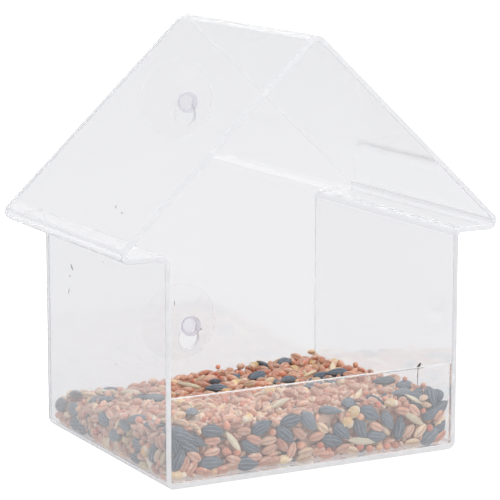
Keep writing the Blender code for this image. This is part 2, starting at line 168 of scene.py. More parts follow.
def node(tree, kind, inputs=None, **settings):
    made = tree.nodes.new(kind)
    for name, value in settings.items():
        setattr(made, name, value)
    feed_all(tree, made, inputs or {})
    return made


def maths(tree, operation, first, second=0.0, third=0.0):
    return node(tree, "ShaderNodeMath", {0: first, 1: second, 2: third}, operation=operation).outputs[0]


def smooth_range(tree, value, low, high, low_to=0.0, high_to=1.0):
    inputs = {"Value": value, "From Min": low, "From Max": high, "To Min": low_to, "To Max": high_to}
    return node(tree, "ShaderNodeMapRange", inputs, interpolation_type="SMOOTHSTEP").outputs["Result"]


def mix_colour(tree, share, first, second):
    inputs = {"Factor": share, MIX_FIRST: first, MIX_SECOND: second}
    return node(tree, "ShaderNodeMix", inputs, data_type="RGBA").outputs[MIX_RESULT]


def noise(tree, place, scale, detail=3.0, roughness=0.55):
    inputs = {"Vector": place, "Scale": scale, "Detail": detail, "Roughness": roughness}
    return node(tree, "ShaderNodeTexNoise", inputs).outputs["Fac"]


def bump(tree, strength, distance, height):
    inputs = {"Strength": strength, "Distance": distance, "Height": height}
    return node(tree, "ShaderNodeBump", inputs).outputs["Normal"]


def object_place(tree):
    return node(tree, "ShaderNodeTexCoord").outputs["Object"]


def axes_of(tree, vector):
    return node(tree, "ShaderNodeSeparateXYZ", {"Vector": vector}).outputs


# %% Start a material or a group
NUMBER = "NodeSocketFloat"
COLOUR = "NodeSocketColor"


def new_material(name):
    material = bpy.data.materials.new(name)
    material.use_nodes = True
    tree = material.node_tree
    return material, tree, tree.nodes["Principled BSDF"]


def new_group(name, inputs, outputs):
    group = bpy.data.node_groups.new(name, "ShaderNodeTree")
    for title, kind, value in inputs:
        socket = group.interface.new_socket(title, in_out="INPUT", socket_type=kind)
        if value is not None:
            socket.default_value = value
    for title, kind in outputs:
        group.interface.new_socket(title, in_out="OUTPUT", socket_type=kind)
    entry = group.nodes.new("NodeGroupInput")
    leave = group.nodes.new("NodeGroupOutput")
    return group, entry.outputs, leave.inputs


def place_group(tree, group, inputs):
    return node(tree, "ShaderNodeGroup", inputs, node_tree=group).outputs


# %% [markdown]
# ## A white studio
# Clear sheet has no colour of its own, so the studio is what we see in it. The background and the
# floor are white to the eye. Through and off the sheet both are darker, the room least so overhead
# and most to the left, where it is bluish. Two soft lamps hang to the right, a small one in front and
# a large one overhead, and leave pale patches on the sheet. The floor is a stage piece and no part of
# the feeder. It has one plain tone all over, so that the sheet looks right from every side.

# %% Light the room
WHITE = (1.0, 1.0, 1.0)
ROOM_LOW = (0.84, 0.84, 0.85)
ROOM_SIDES = {"high": ("Z", -0.15, 0.75, (0.95, 0.95, 0.955)),
              "front": ("Y", 0.25, -0.75, (0.86, 0.86, 0.865)),
              "left": ("X", -0.3, -0.85, (0.54, 0.575, 0.65))}
ROOM_BACKDROP = (0.86, 0.86, 0.865)
BACKDROP_LOW = ("Z", 0.33, 0.22)
BACKDROP_FAR = ("Y", 0.2, 0.5)

world = bpy.data.worlds.new("white_studio")
bpy.context.scene.world = world
world.use_nodes = True
sky = world.node_tree
heading = axes_of(sky, node(sky, "ShaderNodeTexCoord").outputs["Generated"])
room = ROOM_LOW
for axis, start, full, tone in ROOM_SIDES.values():
    room = mix_colour(sky, smooth_range(sky, heading[axis], start, full), room, tone)
backdrop_parts = [smooth_range(sky, heading[axis], start, full)
                  for axis, start, full in (BACKDROP_LOW, BACKDROP_FAR)]
room = mix_colour(sky, maths(sky, "MULTIPLY", *backdrop_parts), room, ROOM_BACKDROP)
seen_directly = node(sky, "ShaderNodeLightPath").outputs["Is Camera Ray"]
seen_room = mix_colour(sky, seen_directly, room, WHITE)
feed_all(sky, sky.nodes["Background"], {"Color": seen_room, "Strength": 1.0})
bpy.context.scene.view_settings.view_transform = "Standard"
print("sides of the room:", list(ROOM_SIDES))

# %% Let light through many faces
# Light crosses up to eight sheet faces here, and far more where a bend sends it along the sheet
SHEET_BOUNCES = 96
MATT_BOUNCES = 8
light_paths = bpy.context.scene.cycles
light_paths.max_bounces = SHEET_BOUNCES
light_paths.glossy_bounces = SHEET_BOUNCES
light_paths.diffuse_bounces = MATT_BOUNCES
light_paths.transmission_bounces = SHEET_BOUNCES
light_paths.transparent_max_bounces = SHEET_BOUNCES
print("bounces in the sheet:", SHEET_BOUNCES)

# %% Hang the soft lamps
HOUSE_MIDDLE = Vector((0, 0, RIDGE_HEIGHT / 2))


def soft_lamp(name, place, width, height, power):
    data = bpy.data.lights.new(name, "AREA")
    data.shape = "RECTANGLE"
    data.size = width
    data.size_y = height
    data.energy = power
    lamp = add_to_scene(name, data)
    lamp.location = place
    lamp.rotation_euler = (HOUSE_MIDDLE - Vector(place)).to_track_quat("-Z", "Y").to_euler()
    lamp.visible_camera = False
    return lamp


lamps = [soft_lamp("lamp_front_right", (0.56, -1.04, 0.31), width=0.6, height=0.3, power=1.1),
         soft_lamp("lamp_over_right", (0.35, -0.35, 1.25), width=1.6, height=1.6, power=10)]
print("lamps:", [lamp.name for lamp in lamps])

# %% Lay the floor
FLOOR_SIZE = 6.0
FLOOR_GLOW = 0.80
FLOOR_MATT = {"Base Color": (0.30, 0.30, 0.305), "Roughness": 0.9, "Specular IOR Level": 0.0}
FLOOR_TONE = (0.665, 0.665, 0.67)
FLOOR_TO_THE_EYE = (1.22, 1.22, 1.22)


def mesh_from(form, name):
    mesh = bpy.data.meshes.new(name)
    form.to_mesh(mesh)
    form.free()
    return mesh


floor_form = bmesh.new()
bmesh.ops.create_grid(floor_form, x_segments=1, y_segments=1, size=FLOOR_SIZE / 2)
studio_floor = add_to_scene("studio_floor", mesh_from(floor_form, "studio_floor"))
studio_floor.location = (0, 0, -EDGE_BREAK)
floor_material, tree, shader = new_material("pale_floor")
floor_seen = node(tree, "ShaderNodeLightPath").outputs["Is Camera Ray"]
floor_tone = mix_colour(tree, floor_seen, FLOOR_TONE, FLOOR_TO_THE_EYE)
feed_all(tree, shader, {**FLOOR_MATT, "Emission Color": floor_tone, "Emission Strength": FLOOR_GLOW})
studio_floor.data.materials.append(floor_material)
print("floor faces:", len(studio_floor.data.polygons))

# %% [markdown]
# ## Marks of handling
# New acrylic is never quite clean: protective film leaves faint smears, and fingers leave haze. One
# node group makes both from two noises, one broad and one fine, for every clear part. It puts out a
# roughness and a height, and each material says how strong they are.

# %% Build the handling marks group
handling, mark_in, mark_out = new_group(
    "handling_marks",
    [("Clean Roughness", NUMBER, 0.02), ("Smear Roughness", NUMBER, 0.1),
     ("Smear Scale", NUMBER, 30.0), ("Ripple Scale", NUMBER, 12.0)],
    [("Roughness", NUMBER), ("Height", NUMBER), ("Smear", NUMBER)])
marked_place = object_place(handling)
broad = noise(handling, marked_place, mark_in["Smear Scale"], detail=4.0, roughness=0.6)
smear = smooth_range(handling, broad, low=0.52, high=0.74)
spread = node(handling, "ShaderNodeMapRange", {"Value": smear, "To Min": mark_in["Clean Roughness"],
                                               "To Max": mark_in["Smear Roughness"]})
ripple = noise(handling, marked_place, mark_in["Ripple Scale"], detail=1.0, roughness=0.4)
feed(handling, mark_out["Roughness"], spread.outputs["Result"])
feed(handling, mark_out["Height"], ripple)
feed(handling, mark_out["Smear"], smear)
print("nodes in the handling marks:", len(handling.nodes))

# %% [markdown]
# ## Clear acrylic
# The sheet is modelled with its real two faces, so a Principled shader with full transmission bends
# and reflects light as the real sheet does. Light that goes on to the seed passes straight through,
# because bent light from small lamps is slow to find its way through glass. The walls, panel and lip
# carry a veil of seed dust, so a small part of them is matt. The roof stays clean. The two bends that
# the feeder stands on are scuffed, and those of the eaves are a little milky from the bending. Both
# pale finishes also paint a highlight along the bends. The cut edge at the back is clearer than the
# one in front.

# %% Mix clear sheet materials
ACRYLIC_IOR = 1.49
ACRYLIC_TINT = (0.972, 0.973, 0.978)
ACRYLIC_SHADE = (0.955, 0.955, 0.96)
SHEET_MARKS = {"smear_scale": 26.0, "ripple_scale": 9.0, "ripple": 0.05}
SAW_MARKS = {"smear_scale": 220.0, "ripple_scale": 500.0, "ripple": 0.1}


def handled_material(name, clean, smeared, smear_scale, ripple_scale, ripple, ripple_depth=MM):
    """A material that takes its roughness and its ripple from the handling marks."""
    material, tree, shader = new_material(name)
    marks = place_group(tree, handling, {"Clean Roughness": clean, "Smear Roughness": smeared,
                                         "Smear Scale": smear_scale, "Ripple Scale": ripple_scale})
    rippled = bump(tree, ripple, ripple_depth, marks["Height"])
    feed_all(tree, shader, {"Roughness": marks["Roughness"], "Normal": rippled})
    return material, tree, shader, marks


def clear_material(name, tint, clarity, ior=ACRYLIC_IOR, shade_tint=ACRYLIC_SHADE, **finish):
    material, tree, shader, _ = handled_material(name, **finish)
    feed_all(tree, shader, {"Base Color": tint, "Transmission Weight": clarity, "IOR": ior})
    straight = node(tree, "ShaderNodeBsdfTransparent", {"Color": shade_tint}).outputs["BSDF"]
    path = node(tree, "ShaderNodeLightPath").outputs
    lighting = maths(tree, "MAXIMUM", path["Is Shadow Ray"], path["Is Diffuse Ray"])
    chosen = node(tree, "ShaderNodeMixShader", {0: lighting, 1: shader.outputs["BSDF"], 2: straight})
    feed_all(tree, tree.nodes["Material Output"], {"Surface": chosen.outputs["Shader"]})
    return material


clear_sheet = clear_material("clear_sheet", ACRYLIC_TINT, 0.925, clean=0.0, smeared=0.035, **SHEET_MARKS)
clean_sheet = clear_material("clean_sheet", ACRYLIC_TINT, 1.0, clean=0.0, smeared=0.02, **SHEET_MARKS)
# The scuffed and the milky bend finishes are partly real and partly a painted highlight along the bends
scuffed_bend = clear_material("scuffed_bend", (0.95, 0.95, 0.955), 0.22, clean=0.25, smeared=0.5,
                              smear_scale=500.0, ripple_scale=300.0, ripple=0.3)
eave_bend = clear_material("eave_bend", (0.965, 0.965, 0.97), 0.6, clean=0.18, smeared=0.3,
                           smear_scale=60.0, ripple_scale=40.0, ripple=0.05)
back_edge = clear_material("back_edge", (0.98, 0.98, 0.985), 0.85, clean=0.3, smeared=0.5, **SAW_MARKS)
sheet_looks = (clear_sheet, clean_sheet, scuffed_bend, eave_bend, back_edge)
print("sheet finishes:", [look.name for look in sheet_looks])

# %% [markdown]
# The saw leaves the cut edges matt, and flame or tape only half polishes them. Light that runs along
# inside the sheet comes out there, so an edge looks like a pale grey band even over dark seed. The
# lip's top edge is flame polished, because birds stand on it, and so are the back panel's edges.

# %% Mix the sawn edge
EDGE_GREY = (0.81, 0.81, 0.82)
EDGE_WORN = (0.88, 0.88, 0.89)
EDGE_CLARITY = 0.25
SAW_DEPTH = 0.1 * MM
sawn_edge, tree, shader, marks = handled_material("sawn_edge", clean=0.32, smeared=0.5,
                                                  ripple_depth=SAW_DEPTH, **SAW_MARKS)
edge_tone = mix_colour(tree, marks["Smear"], EDGE_GREY, EDGE_WORN)
feed_all(tree, shader, {"Base Color": edge_tone, "Transmission Weight": EDGE_CLARITY, "IOR": ACRYLIC_IOR})
polished_edge = clear_material("polished_edge", (0.96, 0.96, 0.965), 0.30, clean=0.15, smeared=0.30,
                               **SAW_MARKS)
print("edge finishes:", sawn_edge.name, polished_edge.name)


# %% [markdown]
# ## Bending the sheet
# A bent strip is an outline pushed inward: the outside is the outline itself, and the inside is the
# same outline moved in by the sheet's thickness. Each corner becomes an arc. An outward bend has the
# larger radius outside, and the two bends over the soffits turn the other way.

# %% Draw an outline with round bends
BEND_STEPS = 20
FLOOR_BEND = 1.0 * MM
SOFFIT_BEND = 1.6 * MM
EAVE_BEND = 1.2 * MM
RIDGE_BEND = 2.0 * MM
# A corner with this radius is cut and not bent
CUT_CORNER = -SHEET


def rounded_outline(corners, inset):
    count = len(corners)
    places = [Vector((corner[0], corner[1])) for corner in corners]
    points = []
    for index in range(count):
        before = (places[index] - places[index - 1]).normalized()
        after = (places[(index + 1) % count] - places[index]).normalized()
        inward_before = Vector((-before.y, before.x))
        inward_after = Vector((-after.y, after.x))
        turn = math.atan2(before.x * after.y - before.y * after.x, before.dot(after))
        shift = (inward_before + inward_after) * (inset / (1 + inward_before.dot(inward_after)))
        if turn > 0:
            radius = max(corners[index][2] + SHEET - inset, EDGE_BREAK)
        else:
            radius = corners[index][2] + inset
        start = places[index] + shift - before * radius * math.tan(abs(turn) / 2)
        centre = start + inward_before * radius * math.copysign(1, turn)
        arm = start - centre
        for step in range(BEND_STEPS + 1):
            points.append(centre + Matrix.Rotation(turn * step / BEND_STEPS, 2) @ arm)
    return points


def house_outline(inset):
    eave = HALF_WIDTH + EAVE_REACH
    return rounded_outline([
        (-HALF_WIDTH, 0, FLOOR_BEND), (HALF_WIDTH, 0, FLOOR_BEND),
        (HALF_WIDTH, WALL_HEIGHT, SOFFIT_BEND), (eave, WALL_HEIGHT, EAVE_BEND),
        (0, RIDGE_HEIGHT, RIDGE_BEND),
        (-eave, WALL_HEIGHT, EAVE_BEND), (-HALF_WIDTH, WALL_HEIGHT, SOFFIT_BEND)], inset)


def lip_outline(inset):
    top = LIP_HEIGHT + SHEET + WELD_GAP
    return rounded_outline([
        (-HALF_WIDTH, 0, FLOOR_BEND), (HALF_WIDTH, 0, FLOOR_BEND),
        (HALF_WIDTH, top, CUT_CORNER), (-HALF_WIDTH, top, CUT_CORNER)], inset)


# %% Skin loops into sheet
def skin(name, loops, closed_ring):
    form = bmesh.new()
    rows = [[form.verts.new(point) for point in loop] for loop in loops]
    last = len(rows) if closed_ring else len(rows) - 1
    for index in range(last):
        near = rows[index]
        far = rows[(index + 1) % len(rows)]
        for spot in range(len(near)):
            beside = (spot + 1) % len(near)
            form.faces.new((near[spot], near[beside], far[beside], far[spot]))
    if not closed_ring:
        form.faces.new(rows[0])
        form.faces.new(rows[-1])
    bmesh.ops.recalc_face_normals(form, faces=form.faces)
    return mesh_from(form, name)


def outline_loops(outline, places):
    """The outline at each pair of inset and place along the depth."""
    return [[(point.x, along, point.y) for point in outline(inset)] for inset, along in places]


def show(name, mesh, materials, smooth_angle=30.0):
    for material in materials:
        mesh.materials.append(material)
    mesh.shade_smooth()
    mesh.set_sharp_from_angle(angle=math.radians(smooth_angle))
    return add_to_scene(name, mesh)


# %% Choose a finish for each face
EDGE_TURN = 0.3
BEND_TURN = 0.1


def place_looks(mesh, looks, look_of):
    for face in mesh.polygons:
        face.material_index = looks.index(look_of(face))


def faces_along_depth(face):
    return abs(face.normal.y) > EDGE_TURN


def house_look(face):
    high_up = face.center.z > WALL_HEIGHT - 2 * SHEET
    narrow = face.area < SHEET * (BACK - FRONT)
    if faces_along_depth(face):
        return back_edge if face.normal.y > 0 else sawn_edge
    # Narrow bend faces get the pale bend finishes: scuffed or milky, and partly a painted highlight
    if narrow and face.normal.z < -BEND_TURN and abs(face.normal.x) > BEND_TURN:
        return eave_bend if high_up else scuffed_bend
    return clean_sheet if high_up else clear_sheet


def panel_look(face):
    return clear_sheet if faces_along_depth(face) else polished_edge


def lip_look(face):
    """Only the lip's top edge is free. The others are welded to the strip."""
    return panel_look(face) if face.normal.z >= EDGE_TURN else clear_sheet


# %% Bend the house
house_mesh = skin("bent_house", outline_loops(house_outline, [
    (0, FRONT + EDGE_BREAK), (0, BACK - EDGE_BREAK), (EDGE_BREAK, BACK), (SHEET - EDGE_BREAK, BACK),
    (SHEET, BACK - EDGE_BREAK), (SHEET, FRONT + EDGE_BREAK), (SHEET - EDGE_BREAK, FRONT),
    (EDGE_BREAK, FRONT)]), closed_ring=True)
house_looks = [clear_sheet, sawn_edge, clean_sheet, scuffed_bend, eave_bend, back_edge]
place_looks(house_mesh, house_looks, house_look)
bent_house = show("bent_house", house_mesh, house_looks)
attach(bent_house, "feeder")
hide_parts("house_shell")
print("bent house faces:", len(house_mesh.polygons))


# %% [markdown]
# ## The flat panels
# The back panel is the house outline, moved in until it meets the sheet. Its two keyholes let a knob
# through the wide part and hold the neck in the narrow part. They are cut with a Boolean, as a router
# would cut them, and the result is applied so that the sawn walls can take their own finish.

# %% Cut the panels
def flat_panel(name, outline, front):
    back = front + SHEET
    inset = SHEET + WELD_GAP
    return skin(name, outline_loops(outline, [
        (inset + EDGE_BREAK, front), (inset, front + EDGE_BREAK), (inset, back - EDGE_BREAK),
        (inset + EDGE_BREAK, back)]), closed_ring=False)


NECK_SLOT = 2.8 * MM
WIDE_HOLE = 4.3 * MM
SLOT_RUN = 1.7 * MM
SLOT_MOUTH = math.sqrt(WIDE_HOLE ** 2 - NECK_SLOT ** 2)
CUP_TRAVEL = SLOT_MOUTH + SLOT_RUN
HOLE_STEPS = 48


def keyhole_cutter(name, seat):
    wide_centre = seat.z - CUP_TRAVEL
    mouth = math.acos(NECK_SLOT / WIDE_HOLE)
    sweep = math.pi + 2 * mouth
    points = []
    for step in range(HOLE_STEPS + 1):
        angle = math.pi - mouth + sweep * step / HOLE_STEPS
        points.append((WIDE_HOLE * math.cos(angle), wide_centre + WIDE_HOLE * math.sin(angle)))
    for step in range(HOLE_STEPS // 2 + 1):
        angle = math.pi * step / (HOLE_STEPS // 2)
        points.append((NECK_SLOT * math.cos(angle), seat.z + NECK_SLOT * math.sin(angle)))
    loops = [[(x, place, z) for x, z in points] for place in (BACK - 2 * SHEET, BACK + SHEET)]
    return add_to_scene(name, skin(name, loops, closed_ring=False))


def cut_out(mesh, cutters):
    plate = add_to_scene("uncut_plate", mesh)
    for cutter in cutters:
        cut = plate.modifiers.new(cutter.name, "BOOLEAN")
        cut.operation = "DIFFERENCE"
        cut.solver = "EXACT"
        cut.object = cutter
    graph = bpy.context.evaluated_depsgraph_get()
    result = bpy.data.meshes.new_from_object(plate.evaluated_get(graph))
    for thing in (plate, *cutters):
        bpy.data.objects.remove(thing, do_unlink=True)
    return result


# %% Show the panel and the lip
panel_looks = [clear_sheet, polished_edge]
panel_mesh = cut_out(flat_panel("keyholed_panel", house_outline, BACK - SHEET),
                     [keyhole_cutter("upper_cut", UPPER_NECK), keyhole_cutter("lower_cut", LOWER_NECK)])
place_looks(panel_mesh, panel_looks, panel_look)
keyholed_panel = show("keyholed_panel", panel_mesh, panel_looks)
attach(keyholed_panel, "feeder")
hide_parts("back_panel")

lip_mesh = flat_panel("tray_lip", lip_outline, FRONT)
place_looks(lip_mesh, panel_looks, lip_look)
tray_lip = show("tray_lip", lip_mesh, panel_looks)
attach(tray_lip, "feeder")
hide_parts("front_lip")
print("panel faces:", len(panel_mesh.polygons), "lip faces:", len(lip_mesh.polygons))

# %% [markdown]
# ## Suction cups
# A cup is one soft moulding: a round knob inside the house, a neck through the keyhole, and a thin
# dome whose rim lies on the window. It is turned from a half section, so we only draw that section,
# as arcs joined by straight runs, and spin it. Soft vinyl is clear with a slight violet tint.

# %% Draw the cup's section
NECK_RADIUS = 2.5 * MM
KNOB_RADIUS = 4.0 * MM
KNOB_HEIGHT = 3.6 * MM
SEAT_GAP = 0.3 * MM
COLLAR_RADIUS = 3.8 * MM
CUP_RADIUS = 15.0 * MM
CUP_STANDOFF = 7.0 * MM
CUP_WEB = 1.7 * MM
RIM_LAND = 1.2 * MM
RIM_EDGE = 0.8 * MM
CUP_SIDES = 128
FILLET = 0.25 * MM
KNOB_STEPS = 20
SHOULDER_STEPS = 8
FILLET_STEPS = 5
WALL_STEPS = 28


def arc(centre, reach_out, reach_along, start_angle, end_angle, steps):
    points = []
    for step in range(steps + 1):
        angle = math.radians(start_angle + (end_angle - start_angle) * step / steps)
        points.append((centre[0] + reach_out * math.sin(angle), centre[1] + reach_along * math.cos(angle)))
    return points


def cup_section():
    knob_waist_share = 0.42
    underside_reach_share = 0.55
    web_behind_collar_share = 0.3
    knob_back = -(SHEET + SEAT_GAP)
    knob_waist = knob_back - KNOB_HEIGHT * knob_waist_share
    knob_dome = KNOB_HEIGHT * (1 - knob_waist_share)
    underside = (KNOB_RADIUS - NECK_RADIUS) * underside_reach_share
    section = arc((0, knob_waist), KNOB_RADIUS, -knob_dome, 0, 90, KNOB_STEPS)
    section += arc((KNOB_RADIUS - underside, knob_waist), underside, knob_back - knob_waist, 90, 0,
                   SHOULDER_STEPS)[1:]
    section += arc((NECK_RADIUS + FILLET, knob_back + FILLET), -FILLET, -FILLET, 0, 90, FILLET_STEPS)
    section += arc((NECK_RADIUS + FILLET, SEAT_GAP - FILLET), -FILLET, FILLET, 90, 0, FILLET_STEPS)
    section.append((COLLAR_RADIUS - FILLET, SEAT_GAP))
    section.append((COLLAR_RADIUS, SEAT_GAP + FILLET))
    hollow_radius = CUP_RADIUS - RIM_LAND
    hollow_floor = SEAT_GAP + CUP_WEB
    hollow_depth = CUP_STANDOFF - hollow_floor
    wall_at_collar = CUP_WEB * (1 - web_behind_collar_share)
    for step in range(1, WALL_STEPS + 1):
        share = step / WALL_STEPS
        radius = COLLAR_RADIUS + (CUP_RADIUS - COLLAR_RADIUS) * share
        hollow_share = min(radius / hollow_radius, 1)
        wall = wall_at_collar + (RIM_EDGE - wall_at_collar) * share
        section.append((radius, hollow_floor + hollow_depth * hollow_share ** 2 - wall))
    section += [(CUP_RADIUS, CUP_STANDOFF), (hollow_radius, CUP_STANDOFF)]
    for step in range(1, WALL_STEPS + 1):
        share = 1 - step / WALL_STEPS
        section.append((hollow_radius * share, hollow_floor + hollow_depth * share ** 2))
    return section


# %% Turn the cups
def turned(name, section, sides):
    form = bmesh.new()
    rings = []
    for radius, along in section[1:-1]:
        ring = []
        for side in range(sides):
            angle = math.tau * side / sides
            ring.append(form.verts.new((radius * math.cos(angle), along, radius * math.sin(angle))))
        rings.append(ring)
    for near, far in zip(rings, rings[1:]):
        for side in range(sides):
            beside = (side + 1) % sides
            form.faces.new((near[side], near[beside], far[beside], far[side]))
    for ring, along in ((rings[0], section[0][1]), (rings[-1], section[-1][1])):
        tip = form.verts.new((0, along, 0))
        for side in range(sides):
            form.faces.new((ring[side], ring[(side + 1) % sides], tip))
    bmesh.ops.recalc_face_normals(form, faces=form.faces)
    return mesh_from(form, name)


# %% Mix the soft vinyl
VINYL_IOR = 1.12
VINYL_CLEAR = (0.985, 0.985, 0.988)
VINYL_THICK = (0.80, 0.785, 0.85)
VINYL_SHADE = (0.95, 0.95, 0.96)
TINT_START = BACK + 0.5 * MM
soft_vinyl = clear_material("soft_vinyl", VINYL_CLEAR, 0.96, VINYL_IOR, VINYL_SHADE, clean=0.10,
                            smeared=0.18, smear_scale=160.0, ripple_scale=140.0, ripple=0.12)
tree = soft_vinyl.node_tree
knob_share = smooth_range(tree, axes_of(tree, object_place(tree))["Y"], TINT_START, BACK - SHEET)
feed_all(tree, tree.nodes["Principled BSDF"],
         {"Base Color": mix_colour(tree, knob_share, VINYL_CLEAR, VINYL_THICK)})
print("nodes in the vinyl:", len(tree.nodes))

# %% Show the cups
for name, node_name, body, neck in (
        ("upper_cup_moulding", "suction_cup_upper", "upper_cup", UPPER_NECK),
        ("lower_cup_moulding", "suction_cup_lower", "lower_cup", LOWER_NECK)):
    cup_mesh = turned(name, cup_section(), CUP_SIDES)
    cup_mesh.transform(Matrix.Translation(neck))
    cup = show(name, cup_mesh, [soft_vinyl], smooth_angle=50.0)
    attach(cup, body)
    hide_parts(node_name)
print("cup faces:", len(cup_mesh.polygons))

# %% [markdown]
# ## Shapes of the seeds
# The mix holds wheat, sunflower seed, millet, cracked corn and oats. Every kind is a row of oval rings
# along the seed, so one function can make them all: a kind says how long, wide and thick it is and how
# its rings swell, and adds its own crease, keel or broken faces. A few variants of each kind stop the
# eye from finding repeats. Each point remembers its place in the seed for the colours later.

# %% Describe each kind
def titled_rows(titles, rows):
    return {kind: dict(zip(titles, row)) for kind, row in rows.items()}


SEED_KINDS = titled_rows(
    ("length", "width", "thickness", "tip_bias", "end_power",
     "crease_share", "keel_share", "chip_share", "end_share"), {
        "wheat": (6.5, 3.3, 2.9, 1.05, 0.52, 0.24, 0.0, 0.02, 0.98),
        "sunflower": (9.4, 4.8, 3.2, 0.78, 0.78, 0.0, 0.16, 0.03, 1.0),
        "oat": (11.2, 2.9, 2.4, 0.9, 0.78, 0.3, 0.0, 0.05, 1.0),
        "corn": (5.4, 4.6, 3.6, 0.9, 0.40, 0.0, 0.0, 0.34, 0.8),
        "millet": (3.1, 3.0, 2.8, 1.0, 0.5, 0.06, 0.0, 0.03, 0.97)})
VARIANTS = 5
LEVELS = {"fine": (11, 12), "coarse": (5, 8)}
CREASE_SHARPNESS = 8
KEEL_SHARPNESS = 6
BODY_SHARE = 0.985
PLUMP_SPREAD = 0.07
STRETCH_SPREAD = 0.06
BOW_SPREAD = 0.10
TWIST_SPREAD = 0.2
draw = np.random.default_rng(31)


def seed_form(kind, rings, sides):
    """Points, faces and the place of each point in the seed, from -1 to 1 along, across and up."""
    shape = SEED_KINDS[kind]
    plump = 1 + PLUMP_SPREAD * draw.standard_normal()
    stretch = 1 + STRETCH_SPREAD * draw.standard_normal()
    bow = BOW_SPREAD * draw.standard_normal()
    twist = TWIST_SPREAD * draw.standard_normal()
    points = []
    for ring in range(rings):
        share = (ring + 0.5) / rings
        swell = math.sin(math.pi * share ** shape["tip_bias"]) ** shape["end_power"]
        along = 2 * share - 1
        for side in range(sides):
            angle = math.tau * side / sides + twist * along
            crease = 1 - shape["crease_share"] * max(math.sin(angle), 0) ** CREASE_SHARPNESS
            keel = 1 + shape["keel_share"] * (abs(math.cos(angle)) ** KEEL_SHARPNESS - 0.5)
            chip = 1 - shape["chip_share"] * draw.random()
            across = swell * keel * chip * math.cos(angle)
            up = swell * crease * chip * math.sin(angle) + bow * (1 - along * along)
            points.append((along * BODY_SHARE, across, up))
    points.append((-shape["end_share"], 0, 0))
    points.append((shape["end_share"], 0, 0))
    faces = []
    for ring in range(rings - 1):
        for side in range(sides):
            beside = (side + 1) % sides
            start = ring * sides
            faces.append((start + side, start + beside, start + sides + beside, start + sides + side))
    tail = rings * sides
    tip = tail + 1
    last = (rings - 1) * sides
    for side in range(sides):
        beside = (side + 1) % sides
        faces.append((beside, side, tail, tail))
        faces.append((last + side, last + beside, tip, tip))
    places = np.array(points)
    half = np.array([shape["length"] * stretch, shape["width"] * plump, shape["thickness"] * plump])
    return places * half * MM / 2, faces, places


seed_forms = {kind: {level: [seed_form(kind, *rings) for _ in range(VARIANTS)]
                     for level, rings in LEVELS.items()} for kind in SEED_KINDS}
print("seed kinds:", list(seed_forms))

# %% [markdown]
# ## Where the seed lies
# The heap is level behind the lip and falls away to the back, more on the left than on the right.
# For the settling, a seed is a few beads in a row: touching beads are easy to find and to push apart,
# and a flat row of beads lies down flat, as a real seed does.

# %% Describe the heap and the beads
TRAY_GAP = 0.1 * MM
TRAY_LOW = np.array([-HALF_WIDTH + SHEET, FRONT + SHEET, SHEET]) + TRAY_GAP
TRAY_HIGH = np.array([HALF_WIDTH - SHEET, BACK - SHEET, LIP_HEIGHT]) - TRAY_GAP
FRONT_FILL = 17.6 * MM
BACK_LEFT_FILL = 8.6 * MM
BACK_RIGHT_FILL = 13.4 * MM

BEADS = {
    "wheat": [(-2.0, 0, 1.25), (0, 0, 1.5), (2.0, 0, 1.25)],
    "sunflower": [(-3.5, 0, 1.1), (-1.8, 0.65, 1.45), (-1.8, -0.65, 1.45), (0.35, 0.9, 1.5),
                  (0.35, -0.9, 1.5), (2.2, 0.5, 1.35), (2.2, -0.5, 1.35), (3.6, 0, 1.0)],
    "oat": [(-4.4, 0, 0.8), (-2.3, 0, 1.15), (0, 0, 1.25), (2.3, 0, 1.1), (4.4, 0, 0.7)],
    "corn": [(-0.9, -0.6, 1.45), (0.9, -0.5, 1.4), (0, 0.8, 1.5)],
    "millet": [(0, 0, 1.45)],
}
KIND_SHARES = {"wheat": 0.74, "sunflower": 0.04, "oat": 0.01, "corn": 0.02, "millet": 0.19}


def heap_top(x, y):
    """Height of the seed's surface: a level front, and an even fall to the two back corners."""
    level_share = 0.35
    rise_power = 0.7
    across = np.clip((x - TRAY_LOW[0]) / (TRAY_HIGH[0] - TRAY_LOW[0]), 0, 1)
    along = np.clip((y - TRAY_LOW[1]) / (TRAY_HIGH[1] - TRAY_LOW[1]), 0, 1)
    fall = np.maximum(along - level_share * across, 0) / (1 - level_share * across)
    ease = fall * fall * (3 - 2 * fall)
    back = BACK_LEFT_FILL + (BACK_RIGHT_FILL - BACK_LEFT_FILL) * across ** rise_power
    return SHEET + FRONT_FILL + (back - FRONT_FILL) * ease


print("mix:", KIND_SHARES)
